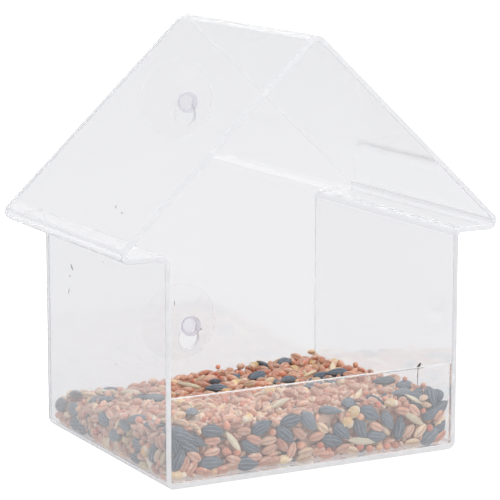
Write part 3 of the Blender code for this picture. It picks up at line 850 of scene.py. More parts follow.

# %% [markdown]
# The seeds that catch the eye are listed, with the pixel of the middle and the turn on the
# picture in degrees. A ray that meets the lip or the left wall under the heap's surface lays its seed
# flat against that sheet, and any other ray lays it on the heap.

# %% List the seeds that stand out
STANDOUT_SEED_PIXELS = {
    "sunflower": [
        (212, 431, -5), (261, 427, 30), (183, 437, -22), (188, 447, -35), (178, 458, 72),
        (211, 462, 4), (246, 468, -5), (250, 446, -28), (284, 434, -40), (291, 420, 15), (308, 421, -50),
        (331, 411, -6), (417, 397, 0), (432, 413, 28), (369, 413, -28), (387, 420, -58), (341, 431, -42),
        (331, 440, -12), (375, 436, 2), (430, 436, 40), (398, 427, 82), (414, 386, 5), (315, 385, 5),
        (272, 381, -8), (323, 375, 8), (77, 409, -20), (108, 419, -30), (87, 432, 15), (118, 436, -15),
        (128, 425, -40), (152, 425, 5), (157, 452, 80), (142, 444, -30), (360, 429, -75), (96, 447, -35),
        (140, 462, -30), (148, 396, 12), (176, 430, -15), (172, 447, -62), (194, 441, -20), (102, 400, 15),
        (63, 403, 20), (80, 424, -30), (136, 419, 10), (424, 391, 12), (437, 399, -25), (445, 408, 35),
        (446, 396, -40), (402, 396, -15), (405, 384, 20), (443, 431, 60)],
    "wheat": [
        (211, 440, 12), (211, 452, 20), (182, 464, 65), (191, 467, 58), (203, 472, -12), (230, 467, 22),
        (243, 431, 0), (253, 440, -15), (267, 440, 10), (268, 449, 28), (281, 444, -55), (290, 451, 66),
        (254, 456, 5), (233, 460, -25), (264, 462, 20), (298, 433, -35), (321, 428, -35), (342, 449, 14),
        (365, 402, -10), (335, 403, -8), (362, 386, -20), (402, 411, -10), (413, 410, -42),
        (375, 427, -30), (407, 431, 46), (419, 430, 52), (305, 452, 10), (316, 436, 18), (411, 446, 6),
        (325, 457, 0), (350, 452, -35), (438, 412, 50), (440, 440, 62), (272, 460, 10), (303, 458, 25),
        (330, 390, -10), (305, 412, -10), (193, 455, -50), (220, 475, 15),
        (268, 408, 15), (205, 408, -60), (252, 407, 10), (317, 450, 10), (181, 388, 0),
        (200, 396, -8), (180, 377, -6), (121, 447, -70), (105, 440, -60), (66, 422, 50), (127, 405, 10)],
    "millet": [
        (225, 451, 0), (237, 451, 0), (359, 418, 0), (359, 446, 0), (368, 448, 0), (378, 447, 0),
        (394, 447, 0), (428, 428, 0), (377, 405, 0), (229, 427, 0), (213, 473, 0), (319, 447, 0),
        (386, 446, 0), (224, 400, 0), (243, 385, 0), (300, 445, 0), (174, 386, 0), (303, 363, 0)],
    "corn": [(284, 461, 5), (346, 421, -40), (352, 412, 30), (441, 423, 60), (178, 477, 0),
             (390, 403, 0), (112, 447, 20), (150, 450, 60), (352, 362, 0), (238, 382, 20), (185, 410, 70)],
    "oat": [(413, 418, -38), (361, 440, 0), (156, 476, -72), (232, 442, -60)],
}

HEAP_TRIES = 12
BEDDED_SHARE = 0.4
TURN_STEP = 4.0


def turn_from_axes(along, up):
    along = along.normalized()
    across = up.cross(along).normalized()
    return np.array([along, across, along.cross(across)]).T


def lay_standout(kind, x, y, degrees):
    """Place and turn of a seed on the first of lip, left wall and heap that its pixel's ray meets."""
    half = SEED_KINDS[kind]["thickness"] * MM / 2
    lip_inside = Vector((0, TRAY_LOW[1] + half, 0))
    wall_inside = Vector((TRAY_LOW[0] + half, 0, 0))
    for point, normal in ((lip_inside, FRONTWARD), (wall_inside, LEFTWARD)):
        spot = hit_plane(x, y, point, normal)
        inside = TRAY_LOW[0] <= spot.x <= TRAY_HIGH[0] and TRAY_LOW[1] <= spot.y <= TRAY_HIGH[1]
        if inside and spot.z < heap_top(spot.x, spot.y) - half:
            break
    else:
        normal = UPWARD
        height = SHEET + FRONT_FILL
        for _ in range(HEAP_TRIES):
            spot = hit_plane(x, y, (0, 0, height), UPWARD)
            height = float(heap_top(spot.x, spot.y)) - half * BEDDED_SHARE
    ahead = hit_plane(*pixel_towards(x, y, degrees, TURN_STEP), spot, normal)
    return np.array(spot), turn_from_axes(ahead - spot, normal)


standouts = [(kind, *lay_standout(kind, *entry))
             for kind, entries in STANDOUT_SEED_PIXELS.items() for entry in entries]
print("standout seeds:", len(standouts))


# %% [markdown]
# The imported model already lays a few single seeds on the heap. The fine seeds that stand for them keep
# their places: the middle of the node's points is the place, and the directions in which the points
# spread most and least are the seed's length and its thickness.

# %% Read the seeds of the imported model
NODE_KINDS = {"sunflower_seed": "sunflower", "wheat_grain": "wheat", "oat_grain": "oat",
              "corn_piece": "corn"}


def pose_of_node(name):
    points = np.array([vert.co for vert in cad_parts[name].data.vertices])
    low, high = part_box(name)
    middle = np.array((low + high) / 2)
    spread = np.cov((points - middle).T)
    axes = np.linalg.eigh(spread)[1]
    up = Vector(axes[:, 0])
    if up.z < 0:
        up.negate()
    return middle, turn_from_axes(Vector(axes[:, 2]), up)


node_seeds = []
for name in sorted(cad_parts):
    kind = NODE_KINDS.get(name.rsplit("_", 1)[0])
    if kind:
        node_seeds.append((kind, *pose_of_node(name)))
print("seeds of the packed model:", len(node_seeds))

# %% [markdown]
# ## Settling the seed
# Thousands of seeds can't be placed by hand, so they are settled like a real pour, in plain numpy.
# They start on a loose jittered lattice. Each step lowers them a little, and then, a few times over,
# beads that overlap are pushed apart, beads outside the tray are moved in, and each seed takes the
# place and turn that fit its beads best. The seeds with a given place are drawn back to it each time.

# %% Draw loose seeds
SMALLEST_SHARE = 0.62
LARGEST_SHARE = 0.98


def random_turns(count):
    """Turns from random quaternions, with less tilt than a fully random turn."""
    quaternion = draw.normal(size=(count, 4)) * (1, 0.5, 0.5, 1)
    w, x, y, z = (quaternion / np.linalg.norm(quaternion, axis=1)[:, None]).T
    return np.array([[1 - 2 * (y * y + z * z), 2 * (x * y - z * w), 2 * (x * z + y * w)],
                     [2 * (x * y + z * w), 1 - 2 * (x * x + z * z), 2 * (y * z - x * w)],
                     [2 * (x * z - y * w), 2 * (y * z + x * w), 1 - 2 * (x * x + y * y)]]).transpose(2, 0, 1)


def add_loose_seeds(seeds, places):
    """Kind, size, place and turn of each seed, with new ones at the places after the old ones."""
    kinds = draw.choice(list(KIND_SHARES), size=len(places), p=list(KIND_SHARES.values()))
    return {"kind": seeds["kind"] + [str(kind) for kind in kinds],
            "size": np.concatenate([seeds["size"], draw.uniform(SMALLEST_SHARE, LARGEST_SHARE, len(places))]),
            "place": np.concatenate([seeds["place"], places]),
            "turn": np.concatenate([seeds["turn"], random_turns(len(places))])}


# %% String the beads
def string_beads(seeds):
    """Each bead's seed, radius and place in its seed, and the number of beads in each seed."""
    owner = np.repeat(np.arange(len(seeds["kind"])), [len(BEADS[kind]) for kind in seeds["kind"]])
    table = np.concatenate([BEADS[kind] for kind in seeds["kind"]]) * MM * seeds["size"][owner][:, None]
    offset = np.column_stack([table[:, :2], np.zeros(len(table))])
    beads = {"owner": owner, "radius": table[:, 2], "number": np.bincount(owner).astype(float)}
    beads["offset"] = offset - (seed_sums(offset, beads) / beads["number"][:, None])[owner]
    return beads


def seed_sums(values, beads):
    """The sum of each column of values over the beads of each seed."""
    return np.stack([np.bincount(beads["owner"], column) for column in values.T], 1)


def bead_places(seeds, beads):
    turns = seeds["turn"][beads["owner"]]
    return seeds["place"][beads["owner"]] + np.einsum("bij,bj->bi", turns, beads["offset"])


# %% Find beads that are close
BEAD_CELL = 3.6 * MM
CELLS_ACROSS = 64
HALF_OF_NEIGHBOURS = [(i, j, k) for i in (-1, 0, 1) for j in (-1, 0, 1) for k in (-1, 0, 1)
                      if (i, j, k) >= (0, 0, 0)]


def close_pairs(points, beads):
    """Pairs of beads of different seeds that are nearly in touch, found through a grid of cells."""
    reach = 0.8 * MM
    cells = np.floor((points - TRAY_LOW) / BEAD_CELL).astype(np.int64) + 2
    key = (cells[:, 0] * CELLS_ACROSS + cells[:, 1]) * CELLS_ACROSS + cells[:, 2]
    order = np.argsort(key, kind="stable")
    sorted_key = key[order]
    firsts = []
    seconds = []
    for i, j, k in HALF_OF_NEIGHBOURS:
        wanted = key + (i * CELLS_ACROSS + j) * CELLS_ACROSS + k
        start = np.searchsorted(sorted_key, wanted, "left")
        number = np.searchsorted(sorted_key, wanted, "right") - start
        first = np.repeat(np.arange(len(points)), number)
        slide = np.repeat(start - np.cumsum(number) + number, number)
        second = order[slide + np.arange(len(first))]
        if (i, j, k) == (0, 0, 0):
            once = first < second
            first = first[once]
            second = second[once]
        firsts.append(first)
        seconds.append(second)
    first = np.concatenate(firsts)
    second = np.concatenate(seconds)
    apart = np.linalg.norm(points[first] - points[second], axis=1)
    touching = apart < beads["radius"][first] + beads["radius"][second] + reach
    near = touching & (beads["owner"][first] != beads["owner"][second])
    return first[near], second[near]


# %% Push, fit and draw back
HOLD_SHARE = 0.35
PUSH_EASE = 1.3
STEADINESS = 1.5e-6
SAME_PAIRS_STEPS = 3


def push_apart(points, pairs, radius):
    first, second = pairs
    gap = points[second] - points[first]
    apart = np.sqrt((gap * gap).sum(1))
    over = radius[first] + radius[second] - apart
    hit = over > 0
    push = gap[hit] * (over[hit] / apart[hit] / 2)[:, None]
    first = first[hit]
    second = second[hit]
    touches = np.bincount(first, minlength=len(points)) + np.bincount(second, minlength=len(points))
    ease = PUSH_EASE / np.sqrt(np.maximum(touches, 1))
    for axis in range(3):
        onward = np.bincount(second, push[:, axis], len(points))
        backward = np.bincount(first, push[:, axis], len(points))
        points[:, axis] += (onward - backward) * ease
    points = np.maximum(points, TRAY_LOW + radius[:, None])
    points[:, :2] = np.minimum(points[:, :2], (TRAY_HIGH - radius[:, None])[:, :2])
    return points


def fit_seeds(points, old_turn, beads):
    """Each seed's best place and turn for its beads. The old turn settles what round beads leave open."""
    place = seed_sums(points, beads) / beads["number"][:, None]
    arm = points - place[beads["owner"]]
    spread = (arm[:, :, None] * beads["offset"][:, None, :]).reshape(-1, 9)
    spread = seed_sums(spread, beads).reshape(-1, 3, 3)
    left, _, right = np.linalg.svd(spread + old_turn * STEADINESS)
    left[:, :, 2] *= np.sign(np.linalg.det(left @ right))[:, None]
    return place, left @ right


def settle(seeds, steps, fall, rounds):
    beads = string_beads(seeds)
    for step in range(steps):
        seeds["place"] = seeds["place"] - np.array([0, 0, fall])
        for turn_count in range(rounds):
            points = bead_places(seeds, beads)
            if turn_count == 0 and step % SAME_PAIRS_STEPS == 0:
                pairs = close_pairs(points, beads)
            points = push_apart(points, pairs, beads["radius"])
            seeds["place"], seeds["turn"] = fit_seeds(points, seeds["turn"], beads)
            seeds["place"][:given_count] += (home_place - seeds["place"][:given_count]) * HOLD_SHARE
            drawn = seeds["turn"][:given_count] * (1 - HOLD_SHARE) + home_turn * HOLD_SHARE
            left, _, right = np.linalg.svd(drawn)
            seeds["turn"][:given_count] = left @ right


def rest_hanging(seeds, steps, fall):
    """Lowers the loose seeds that touch neither the floor nor a lower seed."""
    beads = string_beads(seeds)
    touch = 0.15 * MM
    for _ in range(steps):
        points = bead_places(seeds, beads)
        first, second = close_pairs(points, beads)
        apart = np.linalg.norm(points[first] - points[second], axis=1)
        close = apart < beads["radius"][first] + beads["radius"][second] + touch
        upper = np.where(points[first, 2] > points[second, 2], first, second)[close]
        rests = np.arange(len(seeds["kind"])) < given_count
        rests[beads["owner"][upper]] = True
        rests[beads["owner"][points[:, 2] < TRAY_LOW[2] + beads["radius"] + touch]] = True
        seeds["place"][~rests, 2] -= fall
    print("seeds that still hang:", int((~rests).sum()))


# %% [markdown]
# The pour starts a little short, because a settled heap can't be worked out beforehand. Once it has
# come down, more seed is dropped wherever the surface is still low, and the settling goes on. Seeds
# that still hang over a gap at the end are lowered onto the ones below, and those that are left
# standing over the heap are taken off, as a hand would smooth them away.

# %% Pour the seed
LATTICE = np.array([4.1, 4.1, 3.7]) * MM
LAYERS = 10
POUR_SHARE = 1.68
CLEAR_OF_GIVEN = 3.1 * MM
POUR_JITTER_MM = 1.2

given = node_seeds + standouts
given_count = len(given)
home_place = np.array([place for _, place, _ in given])
home_turn = np.array([turn for _, _, turn in given])
seeds = {"kind": [kind for kind, _, _ in given], "size": np.ones(given_count),
         "place": home_place.copy(), "turn": home_turn.copy()}
lattice_counts = np.floor((TRAY_HIGH - TRAY_LOW)[:2] / LATTICE[:2]).astype(int)
spacing = np.array([*((TRAY_HIGH - TRAY_LOW)[:2] / lattice_counts), LATTICE[2]])
columns = np.stack(np.meshgrid(np.arange(lattice_counts[0]), np.arange(lattice_counts[1]),
                               np.arange(LAYERS), indexing="ij"), -1).reshape(-1, 3) + 0.5
poured = TRAY_LOW + columns * spacing + draw.uniform(-POUR_JITTER_MM, POUR_JITTER_MM, columns.shape) * MM
fill = heap_top(poured[:, 0], poured[:, 1]) - SHEET
poured = poured[poured[:, 2] < SHEET + fill * POUR_SHARE]
given_beads = bead_places(seeds, string_beads(seeds))
clearance = np.array([np.linalg.norm(given_beads - place, axis=1).min() for place in poured])
seeds = add_loose_seeds(seeds, poured[clearance > CLEAR_OF_GIVEN])
settle(seeds, steps=60, fall=0.17 * MM, rounds=4)
settle(seeds, steps=20, fall=0.06 * MM, rounds=4)
print("seeds after the first pour:", len(seeds["kind"]))

# %% Top up the low places
TOP_UP_RISE = 2.6 * MM
TOP_UPS = 4
AIM_OVER = 4.0 * MM
STANDS_OVER = 2.9 * MM
UPRIGHT_COST = 1.5 * MM
SHEET_CLEARANCE = 0.1 * MM
DROP_JITTER_MM = 1


def surface_heights(places, seeds):
    """Height of the highest bead round each place."""
    beads = string_beads(seeds)
    points = bead_places(seeds, beads)
    reach = 2.4 * MM
    heights = []
    for place in places:
        near = np.hypot(points[:, 0] - place[0], points[:, 1] - place[1]) < reach
        heights.append((points[near, 2] + beads["radius"][near]).max(initial=SHEET))
    return np.array(heights)


floor_spots = TRAY_LOW[:2] + columns[columns[:, 2] < 1][:, :2] * spacing[:2]
for _ in range(TOP_UPS):
    surface = surface_heights(floor_spots, seeds)
    lack = heap_top(floor_spots[:, 0], floor_spots[:, 1]) + AIM_OVER - surface
    dropped = [(spot[0], spot[1], height + TOP_UP_RISE * (level + 0.5))
               for spot, height, short in zip(floor_spots, surface, lack)
               for level in range(int(short / TOP_UP_RISE + 0.5))]
    dropped = np.array(dropped) + draw.uniform(-DROP_JITTER_MM, DROP_JITTER_MM, (len(dropped), 3)) * MM
    seeds = add_loose_seeds(seeds, dropped)
    print("topped up with", len(dropped), "seeds, mean lack", round(float(lack.mean()) / MM, 2), "mm")
    settle(seeds, steps=24, fall=0.1 * MM, rounds=4)
settle(seeds, steps=20, fall=0.02 * MM, rounds=6)
settle(seeds, steps=8, fall=0.0, rounds=6)
rest_hanging(seeds, steps=18, fall=0.13 * MM)
beads = string_beads(seeds)
points = bead_places(seeds, beads)
lowest_room = np.zeros((len(seeds["kind"]), 3))
highest_room = np.zeros((len(seeds["kind"]), 3))
np.maximum.at(lowest_room, beads["owner"], TRAY_LOW + beads["radius"][:, None] + SHEET_CLEARANCE - points)
np.maximum.at(highest_room, beads["owner"], points + beads["radius"][:, None] + SHEET_CLEARANCE - TRAY_HIGH)
seeds["place"] += lowest_room - highest_room * (1, 1, 0)
points = bead_places(seeds, beads)
bead_over_heap = points[:, 2] + beads["radius"] - heap_top(points[:, 0], points[:, 1])
over_heap = np.full(len(seeds["kind"]), -1.0)
np.maximum.at(over_heap, beads["owner"], bead_over_heap)
upright = np.abs(seeds["turn"][:, 2, 0])
stays = (over_heap + upright * UPRIGHT_COST < STANDS_OVER) | (np.arange(len(over_heap)) < given_count)
seeds = {"kind": [kind for kind, kept in zip(seeds["kind"], stays) if kept],
         **{title: seeds[title][stays] for title in ("size", "place", "turn")}}
count = len(seeds["kind"])
print("seeds in the tray:", count, "of which loose:", count - given_count)

# %% [markdown]
# ## Showing the seed
# Every seed is a real mesh. Those that can be seen through the lip, the walls or from above are fine,
# and the ones underneath are coarser. All seeds of one kind and one place in the tray are joined into
# one object, so that the scene stays quick, and each seed keeps three random numbers for its colour.

# %% Join the seeds of one kind
KIND_NAMES = {"wheat": "wheat_grains", "sunflower": "sunflower_seeds", "oat": "oat_grains",
              "corn": "cracked_corn", "millet": "millet_grains"}
SHOWN_DEPTH = 5.0 * MM
ZONES = ["front", "back", "top_left", "top_right", "under_left", "under_right"]
at_top = heap_top(seeds["place"][:, 0], seeds["place"][:, 1]) - seeds["place"][:, 2] < SHOWN_DEPTH
near_low = (seeds["place"] < TRAY_LOW + SHOWN_DEPTH)[:, :2].any(1)
near_high = (seeds["place"] > TRAY_HIGH - SHOWN_DEPTH)[:, :2].any(1)
at_left = seeds["place"][:, 0] < 0
seed_zone = np.select([near_low, near_high, at_top & at_left, at_top, at_left], ZONES[:5], ZONES[5])
seed_draws = draw.random((count, 3))
seed_variant = draw.integers(0, VARIANTS, count)


def joined_seeds(name, members, level):
    points = []
    faces = []
    places = []
    draws = []
    start = 0
    for index in members:
        form_points, form_faces, form_places = seed_forms[seeds["kind"][index]][level][seed_variant[index]]
        points.append(form_points * seeds["size"][index] @ seeds["turn"][index].T + seeds["place"][index])
        faces += [tuple(start + corner for corner in dict.fromkeys(face)) for face in form_faces]
        places.append(form_places)
        draws.append(np.repeat(seed_draws[index][None], len(form_points), 0))
        start += len(form_points)
    mesh = bpy.data.meshes.new(name)
    mesh.from_pydata(np.concatenate(points), [], faces)
    for title, values in (("seed_spot", places), ("seed_draw", draws)):
        attribute = mesh.attributes.new(title, "FLOAT_VECTOR", "POINT")
        attribute.data.foreach_set("vector", np.concatenate(values).ravel().astype(np.float32))
    mesh.update()
    return mesh


# %% [markdown]
# A bag of seed also holds broken grain and dust, which fills the gaps between the whole seeds. A low
# bed with a lumpy surface stands for it. It stays under the outer layer of seeds on every side.

# %% Lay the bed of fine grain
BED_DEPTH = 1.7 * MM
BED_MARGIN = 4.6 * MM
BED_LUMP = 0.7 * MM
BED_CELLS = (72, 62)

bed_sides = [np.linspace(TRAY_LOW[axis] + BED_MARGIN, TRAY_HIGH[axis] - BED_MARGIN, BED_CELLS[axis])
             for axis in range(2)]
bed_across, bed_along = np.meshgrid(*bed_sides, indexing="ij")
bed_top = heap_top(bed_across, bed_along) - BED_DEPTH + draw.uniform(-BED_LUMP, BED_LUMP, bed_across.shape)
bed_form = bmesh.new()
bed_rims = []
for heights in (bed_top, np.full(bed_top.shape, SHEET + BED_DEPTH)):
    rows = [[bed_form.verts.new(point) for point in zip(*row)]
            for row in zip(bed_across, bed_along, heights)]
    for near, far in zip(rows, rows[1:]):
        for spot in range(len(near) - 1):
            bed_form.faces.new((near[spot], near[spot + 1], far[spot + 1], far[spot]))
    bed_rims.append([*rows[0], *[row[-1] for row in rows[1:-1]], *rows[-1][::-1],
                     *[row[0] for row in rows[-2:0:-1]]])
top_rim, bottom_rim = bed_rims
for spot in range(len(top_rim)):
    bed_form.faces.new([top_rim[spot - 1], top_rim[spot], bottom_rim[spot], bottom_rim[spot - 1]])
bmesh.ops.recalc_face_normals(bed_form, faces=bed_form.faces)
bed_mesh = mesh_from(bed_form, "fine_grain_bed")
print("bed faces:", len(bed_mesh.polygons))

# %% Mix the broken grain
GRAIN_SCALE = 480.0
GRAIN_TONES = {"plain": (0.82, 0.52, 0.38), "pale": (0.84, 0.67, 0.54), "dark": (0.66, 0.31, 0.20)}
GRAIN_BUMP = 0.8
bed_skin, tree, shader = new_material("broken_grain")
bed_grains = node(tree, "ShaderNodeTexVoronoi", {"Vector": object_place(tree), "Scale": GRAIN_SCALE}).outputs
bed_chance = node(tree, "ShaderNodeSeparateColor", {"Color": bed_grains["Color"]}).outputs
bed_tone = mix_colour(tree, bed_chance["Red"], GRAIN_TONES["plain"], GRAIN_TONES["pale"])
dark_share = smooth_range(tree, bed_chance["Green"], low=0.7, high=0.9)
bed_tone = mix_colour(tree, dark_share, bed_tone, GRAIN_TONES["dark"])
feed_all(tree, shader, {"Base Color": bed_tone, "Roughness": 0.75,
                        "Normal": bump(tree, GRAIN_BUMP, MM, bed_grains["Distance"])})
fine_grain_bed = show("fine_grain_bed", bed_mesh, [bed_skin])
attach(fine_grain_bed, "feeder")
print("shown:", fine_grain_bed.name)

# %% [markdown]
# ## Colours of the seed
# Three random numbers choose each seed's own tone. One group mixes them with a fine speckle and paler
# tips, and a second one draws lines along a seed: the stripes of a hull, and on wheat a dark line in
# the crease, which is painted shade.

# %% Build the seed tone group
WEAR_SCALE = 520.0


def attribute_axes(tree, title):
    return axes_of(tree, node(tree, "ShaderNodeAttribute", attribute_name=title).outputs["Vector"])


seed_tone, tone_in, tone_out = new_group(
    "seed_tone",
    [("Main Colour", COLOUR, None), ("Warm Colour", COLOUR, None), ("Pale Colour", COLOUR, None),
     ("Tip Colour", COLOUR, None), ("Tip Start", NUMBER, 0.7), ("Speckle Scale", NUMBER, 1700.0),
     ("Speckle Depth", NUMBER, 0.3)],
    [("Colour", COLOUR), ("Height", NUMBER)])
chance = attribute_axes(seed_tone, "seed_draw")
along_seed = attribute_axes(seed_tone, "seed_spot")["X"]
seed_surface = object_place(seed_tone)
warmed = mix_colour(seed_tone, chance["X"], tone_in["Main Colour"], tone_in["Warm Colour"])
pale_chance = smooth_range(seed_tone, chance["Y"], low=0.62, high=1.0)
paled = mix_colour(seed_tone, pale_chance, warmed, tone_in["Pale Colour"])
wear = noise(seed_tone, seed_surface, WEAR_SCALE, detail=3.0, roughness=0.6)
worn_share = smooth_range(seed_tone, wear, low=0.52, high=0.66, high_to=0.6)
worn = mix_colour(seed_tone, worn_share, paled, tone_in["Tip Colour"])
tip_share = smooth_range(seed_tone, along_seed, tone_in["Tip Start"], 1.0)
tipped = mix_colour(seed_tone, tip_share, worn, tone_in["Tip Colour"])
speckle = noise(seed_tone, seed_surface, tone_in["Speckle Scale"], detail=3.0, roughness=0.6)
centred_speckle = maths(seed_tone, "SUBTRACT", speckle, 0.5)
brightness = maths(seed_tone, "MULTIPLY_ADD", centred_speckle, tone_in["Speckle Depth"], 1.0)
own_brightness = smooth_range(seed_tone, chance["Z"], 0.0, 1.0, low_to=0.80, high_to=1.08)
level = maths(seed_tone, "MULTIPLY", brightness, own_brightness)
levelled = node(seed_tone, "ShaderNodeVectorMath", {0: tipped, "Scale": level}, operation="SCALE")
feed(seed_tone, tone_out["Colour"], levelled.outputs["Vector"])
feed(seed_tone, tone_out["Height"], speckle)
print("nodes in the seed tone:", len(seed_tone.nodes))

# %% Build the group of lines along a seed
WAVER_SCALE = 400.0
seed_lines, line_in, line_out = new_group(
    "lines_along_seed",
    [("Lines", NUMBER, 1.0), ("Turn", NUMBER, 0.0), ("Sharpness", NUMBER, 8.0), ("Waver", NUMBER, 0.3)],
    [("Mask", NUMBER)])
line_axes = attribute_axes(seed_lines, "seed_spot")
round_angle = maths(seed_lines, "ARCTAN2", line_axes["Z"], line_axes["Y"])
waver_noise = noise(seed_lines, object_place(seed_lines), WAVER_SCALE, detail=2.0)
waver = maths(seed_lines, "SUBTRACT", waver_noise, 0.5)
bent_angle = maths(seed_lines, "MULTIPLY_ADD", waver, line_in["Waver"], round_angle)
phase = maths(seed_lines, "MULTIPLY_ADD", bent_angle, line_in["Lines"], line_in["Turn"])
crest = maths(seed_lines, "MULTIPLY_ADD", maths(seed_lines, "COSINE", phase), 0.5, 0.5)
feed(seed_lines, line_out["Mask"], maths(seed_lines, "POWER", crest, line_in["Sharpness"]))
print("nodes in the lines:", len(seed_lines.nodes))

# %% List the looks of the seeds
# The last colour goes along the lines: a hull's own stripes, and for wheat painted shade in the crease
SEED_TONES = titled_rows(("main", "warm", "pale", "tip", "line"), {
    "wheat": ((0.74, 0.435, 0.305), (0.62, 0.27, 0.18), (0.80, 0.61, 0.40), (0.77, 0.63, 0.51),
              (0.34, 0.16, 0.11)),
    "sunflower": ((0.075, 0.112, 0.150), (0.095, 0.115, 0.14), (0.15, 0.18, 0.205), (0.19, 0.205, 0.22),
                  (0.34, 0.37, 0.40)),
    "oat": ((0.76, 0.68, 0.50), (0.74, 0.60, 0.40), (0.82, 0.78, 0.66), (0.84, 0.80, 0.68),
            (0.52, 0.42, 0.28)),
    "corn": ((0.80, 0.58, 0.30), (0.78, 0.46, 0.20), (0.84, 0.74, 0.58), (0.84, 0.77, 0.64),
             (0.84, 0.74, 0.56)),
    "millet": ((0.74, 0.32, 0.20), (0.66, 0.21, 0.13), (0.78, 0.50, 0.30), (0.78, 0.54, 0.36),
               (0.80, 0.60, 0.42))})
SEED_FINISHES = titled_rows(
    ("tip_start", "speckle", "lines", "turn", "sharp", "waver", "line_share",
     "roughness", "gloss", "sheen", "bump"), {
        "wheat": (0.62, 1.0, 1.0, -math.pi / 2, 30.0, 0.15, 0.7, 0.6, 0.2, 0.35, 0.6),
        "sunflower": (0.86, 1.3, 9.0, 0.0, 5.0, 0.7, 0.5, 0.55, 0.4, 0.12, 0.6),
        "oat": (0.6, 0.3, 6.0, 0.4, 5.0, 0.2, 0.5, 0.6, 0.2, 0.1, 0.35),
        "corn": (0.1, 0.6, 2.0, 0.8, 3.0, 1.2, 0.5, 0.5, 0.3, 0.0, 0.5),
        "millet": (0.8, 0.3, 1.0, 0.0, 20.0, 0.4, 0.35, 0.4, 0.3, 0.2, 0.15)})

# %% Mix the seed materials
SEED_BUMP_DEPTH = 0.2 * MM


def seed_material(kind):
    tones = SEED_TONES[kind]
    look = SEED_FINISHES[kind]
    material, tree, shader = new_material(f"{kind}_skin")
    tone = place_group(tree, seed_tone, {
        "Main Colour": tones["main"], "Warm Colour": tones["warm"], "Pale Colour": tones["pale"],
        "Tip Colour": tones["tip"], "Tip Start": look["tip_start"], "Speckle Depth": look["speckle"]})
    mask = place_group(tree, seed_lines, {"Lines": look["lines"], "Turn": look["turn"],
                                          "Sharpness": look["sharp"], "Waver": look["waver"]})["Mask"]
    # The share of the line colour: stripes, and on wheat painted shade in the crease
    line_share = maths(tree, "MULTIPLY", mask, look["line_share"])
    feed_all(tree, shader, {
        "Base Color": mix_colour(tree, line_share, tone["Colour"], tones["line"]),
        "Roughness": look["roughness"], "Specular IOR Level": look["gloss"], "Sheen Weight": look["sheen"],
        "Normal": bump(tree, look["bump"], SEED_BUMP_DEPTH, tone["Height"])})
    return material


# %% Show the seeds
seed_materials = {kind: seed_material(kind) for kind in SEED_KINDS}
shown_seeds = {}
for kind in SEED_KINDS:
    for zone in ZONES:
        members = [index for index in range(count)
                   if seeds["kind"][index] == kind and seed_zone[index] == zone]
        if not members:
            continue
        name = f"{KIND_NAMES[kind]}_{zone}"
        mesh = joined_seeds(name, members, "coarse" if zone.startswith("under") else "fine")
        piece = show(name, mesh, [seed_materials[kind]], smooth_angle=50.0)
        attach(piece, "feeder")
        shown_seeds[name] = piece
        print(name, len(members), "seeds,", len(mesh.polygons), "faces")

# %% [markdown]
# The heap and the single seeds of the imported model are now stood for. A single seed's stand-in is in
# the joined object of its kind and zone. The poured wheat and the bed of fine grain stand for the heap.

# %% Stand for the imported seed
node_names = [name for name in sorted(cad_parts) if name.rsplit("_", 1)[0] in NODE_KINDS]
for index, name in enumerate(node_names):
    piece = shown_seeds[f"{KIND_NAMES[seeds['kind'][index]]}_{seed_zone[index]}"]
    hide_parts(name)
for zone in ZONES:
    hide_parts("seed_heap")
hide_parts("seed_heap")
print("single seeds stood for:", len(node_names))
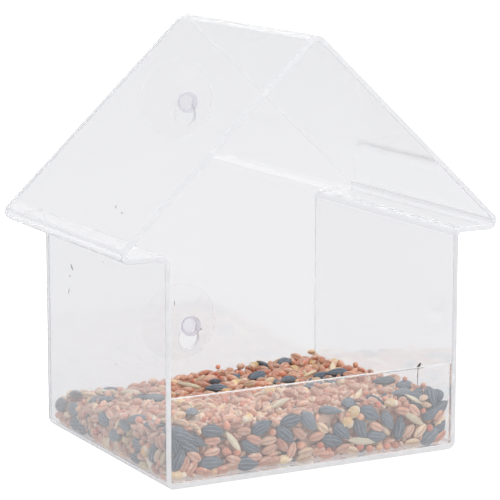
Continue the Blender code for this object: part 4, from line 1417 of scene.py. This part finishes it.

# %% [markdown]
# ## Chaff
# A used feeder has a few bits of husk clinging to it. Three dark marks stand at the lip's top edge,
# a small one on the edge and two thin upright ones below it, and tiny flecks, greyed by dust, stick
# to the sheet. Each is laid where the photograph has it, on the sheet that its ray meets, and is sunk
# a little into it so that it doesn't seem to float.

# %% Scatter the chaff
SLOPE_NORMAL = Vector((WALL_HEIGHT - RIDGE_HEIGHT, 0, HALF_WIDTH + EAVE_REACH)).normalized()
CHAFF_SHEETS = {"lip": (Vector((0, FRONT + SHEET, 0)), FRONTWARD),
                "wall": (Vector((-HALF_WIDTH, 0, 0)), LEFTWARD),
                "panel": (Vector((0, BACK - SHEET, 0)), FRONTWARD),
                "slope": (Vector((-HALF_WIDTH - EAVE_REACH, 0, WALL_HEIGHT)), SLOPE_NORMAL)}
CHAFF_PIXELS = [
    (418.5, 366, 55, 1.5, 0.5, "lip"), (416.5, 372, 85, 2.2, 0.14, "lip"), (416.5, 379, 88, 2.6, 0.14, "lip"),
    (72, 267, -70, 1.5, 0.3, "wall"), (69, 291, 85, 1.1, 0.2, "wall"), (70, 276, 60, 0.6, 0.2, "wall"),
    (116, 207, 75, 0.9, 0.2, "slope"), (122, 213, 20, 0.6, 0.2, "slope"), (103, 262, 10, 0.4, 0.2, "wall"),
    (174.5, 303, 88, 1.2, 0.13, "panel"), (201, 329, 60, 0.5, 0.2, "panel"), (116, 364, 0, 0.35, 0.2, "wall")]
CHAFF_RISE_SHARE = 0.3
CHAFF_FLAT_SHARE = 0.5
chaff_form = bmesh.new()
for x, y, degrees, length, width, sheet_name in CHAFF_PIXELS:
    point, normal = CHAFF_SHEETS[sheet_name]
    touch = hit_plane(x, y, point, normal)
    ahead = hit_plane(*pixel_towards(x, y, degrees), point, normal)
    turn = Matrix(turn_from_axes(ahead - touch, normal)).to_4x4()
    size = Matrix.Diagonal((length * MM, width * MM, width * MM * CHAFF_FLAT_SHARE, 1))
    place = Matrix.Translation(touch + normal * (width * MM * CHAFF_RISE_SHARE)) @ turn @ size
    made = bmesh.ops.create_icosphere(chaff_form, subdivisions=2, radius=1, matrix=place)
    for vert in made["verts"]:
        for face in vert.link_faces:
            face.material_index = 0 if sheet_name == "lip" else 1
chaff_mesh = mesh_from(chaff_form, "chaff")
print("bits of chaff:", len(CHAFF_PIXELS))

# %% Show the chaff
HUSK_SCALE = 700.0


def chaff_material(name, dark, pale):
    material, tree, shader = new_material(name)
    mottled = mix_colour(tree, noise(tree, object_place(tree), HUSK_SCALE), dark, pale)
    feed_all(tree, shader, {"Base Color": mottled, "Roughness": 0.7})
    return material


# The dark marks at the lip's top edge, and the grey flecks on the other sheets
stalk_skin = chaff_material("stalk_skin", (0.03, 0.025, 0.02), (0.16, 0.12, 0.09))
fleck_skin = chaff_material("fleck_skin", (0.22, 0.21, 0.20), (0.42, 0.40, 0.38))
chaff = show("chaff", chaff_mesh, [stalk_skin, fleck_skin])
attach(chaff, "feeder")
print("chaff faces:", len(chaff_mesh.polygons))
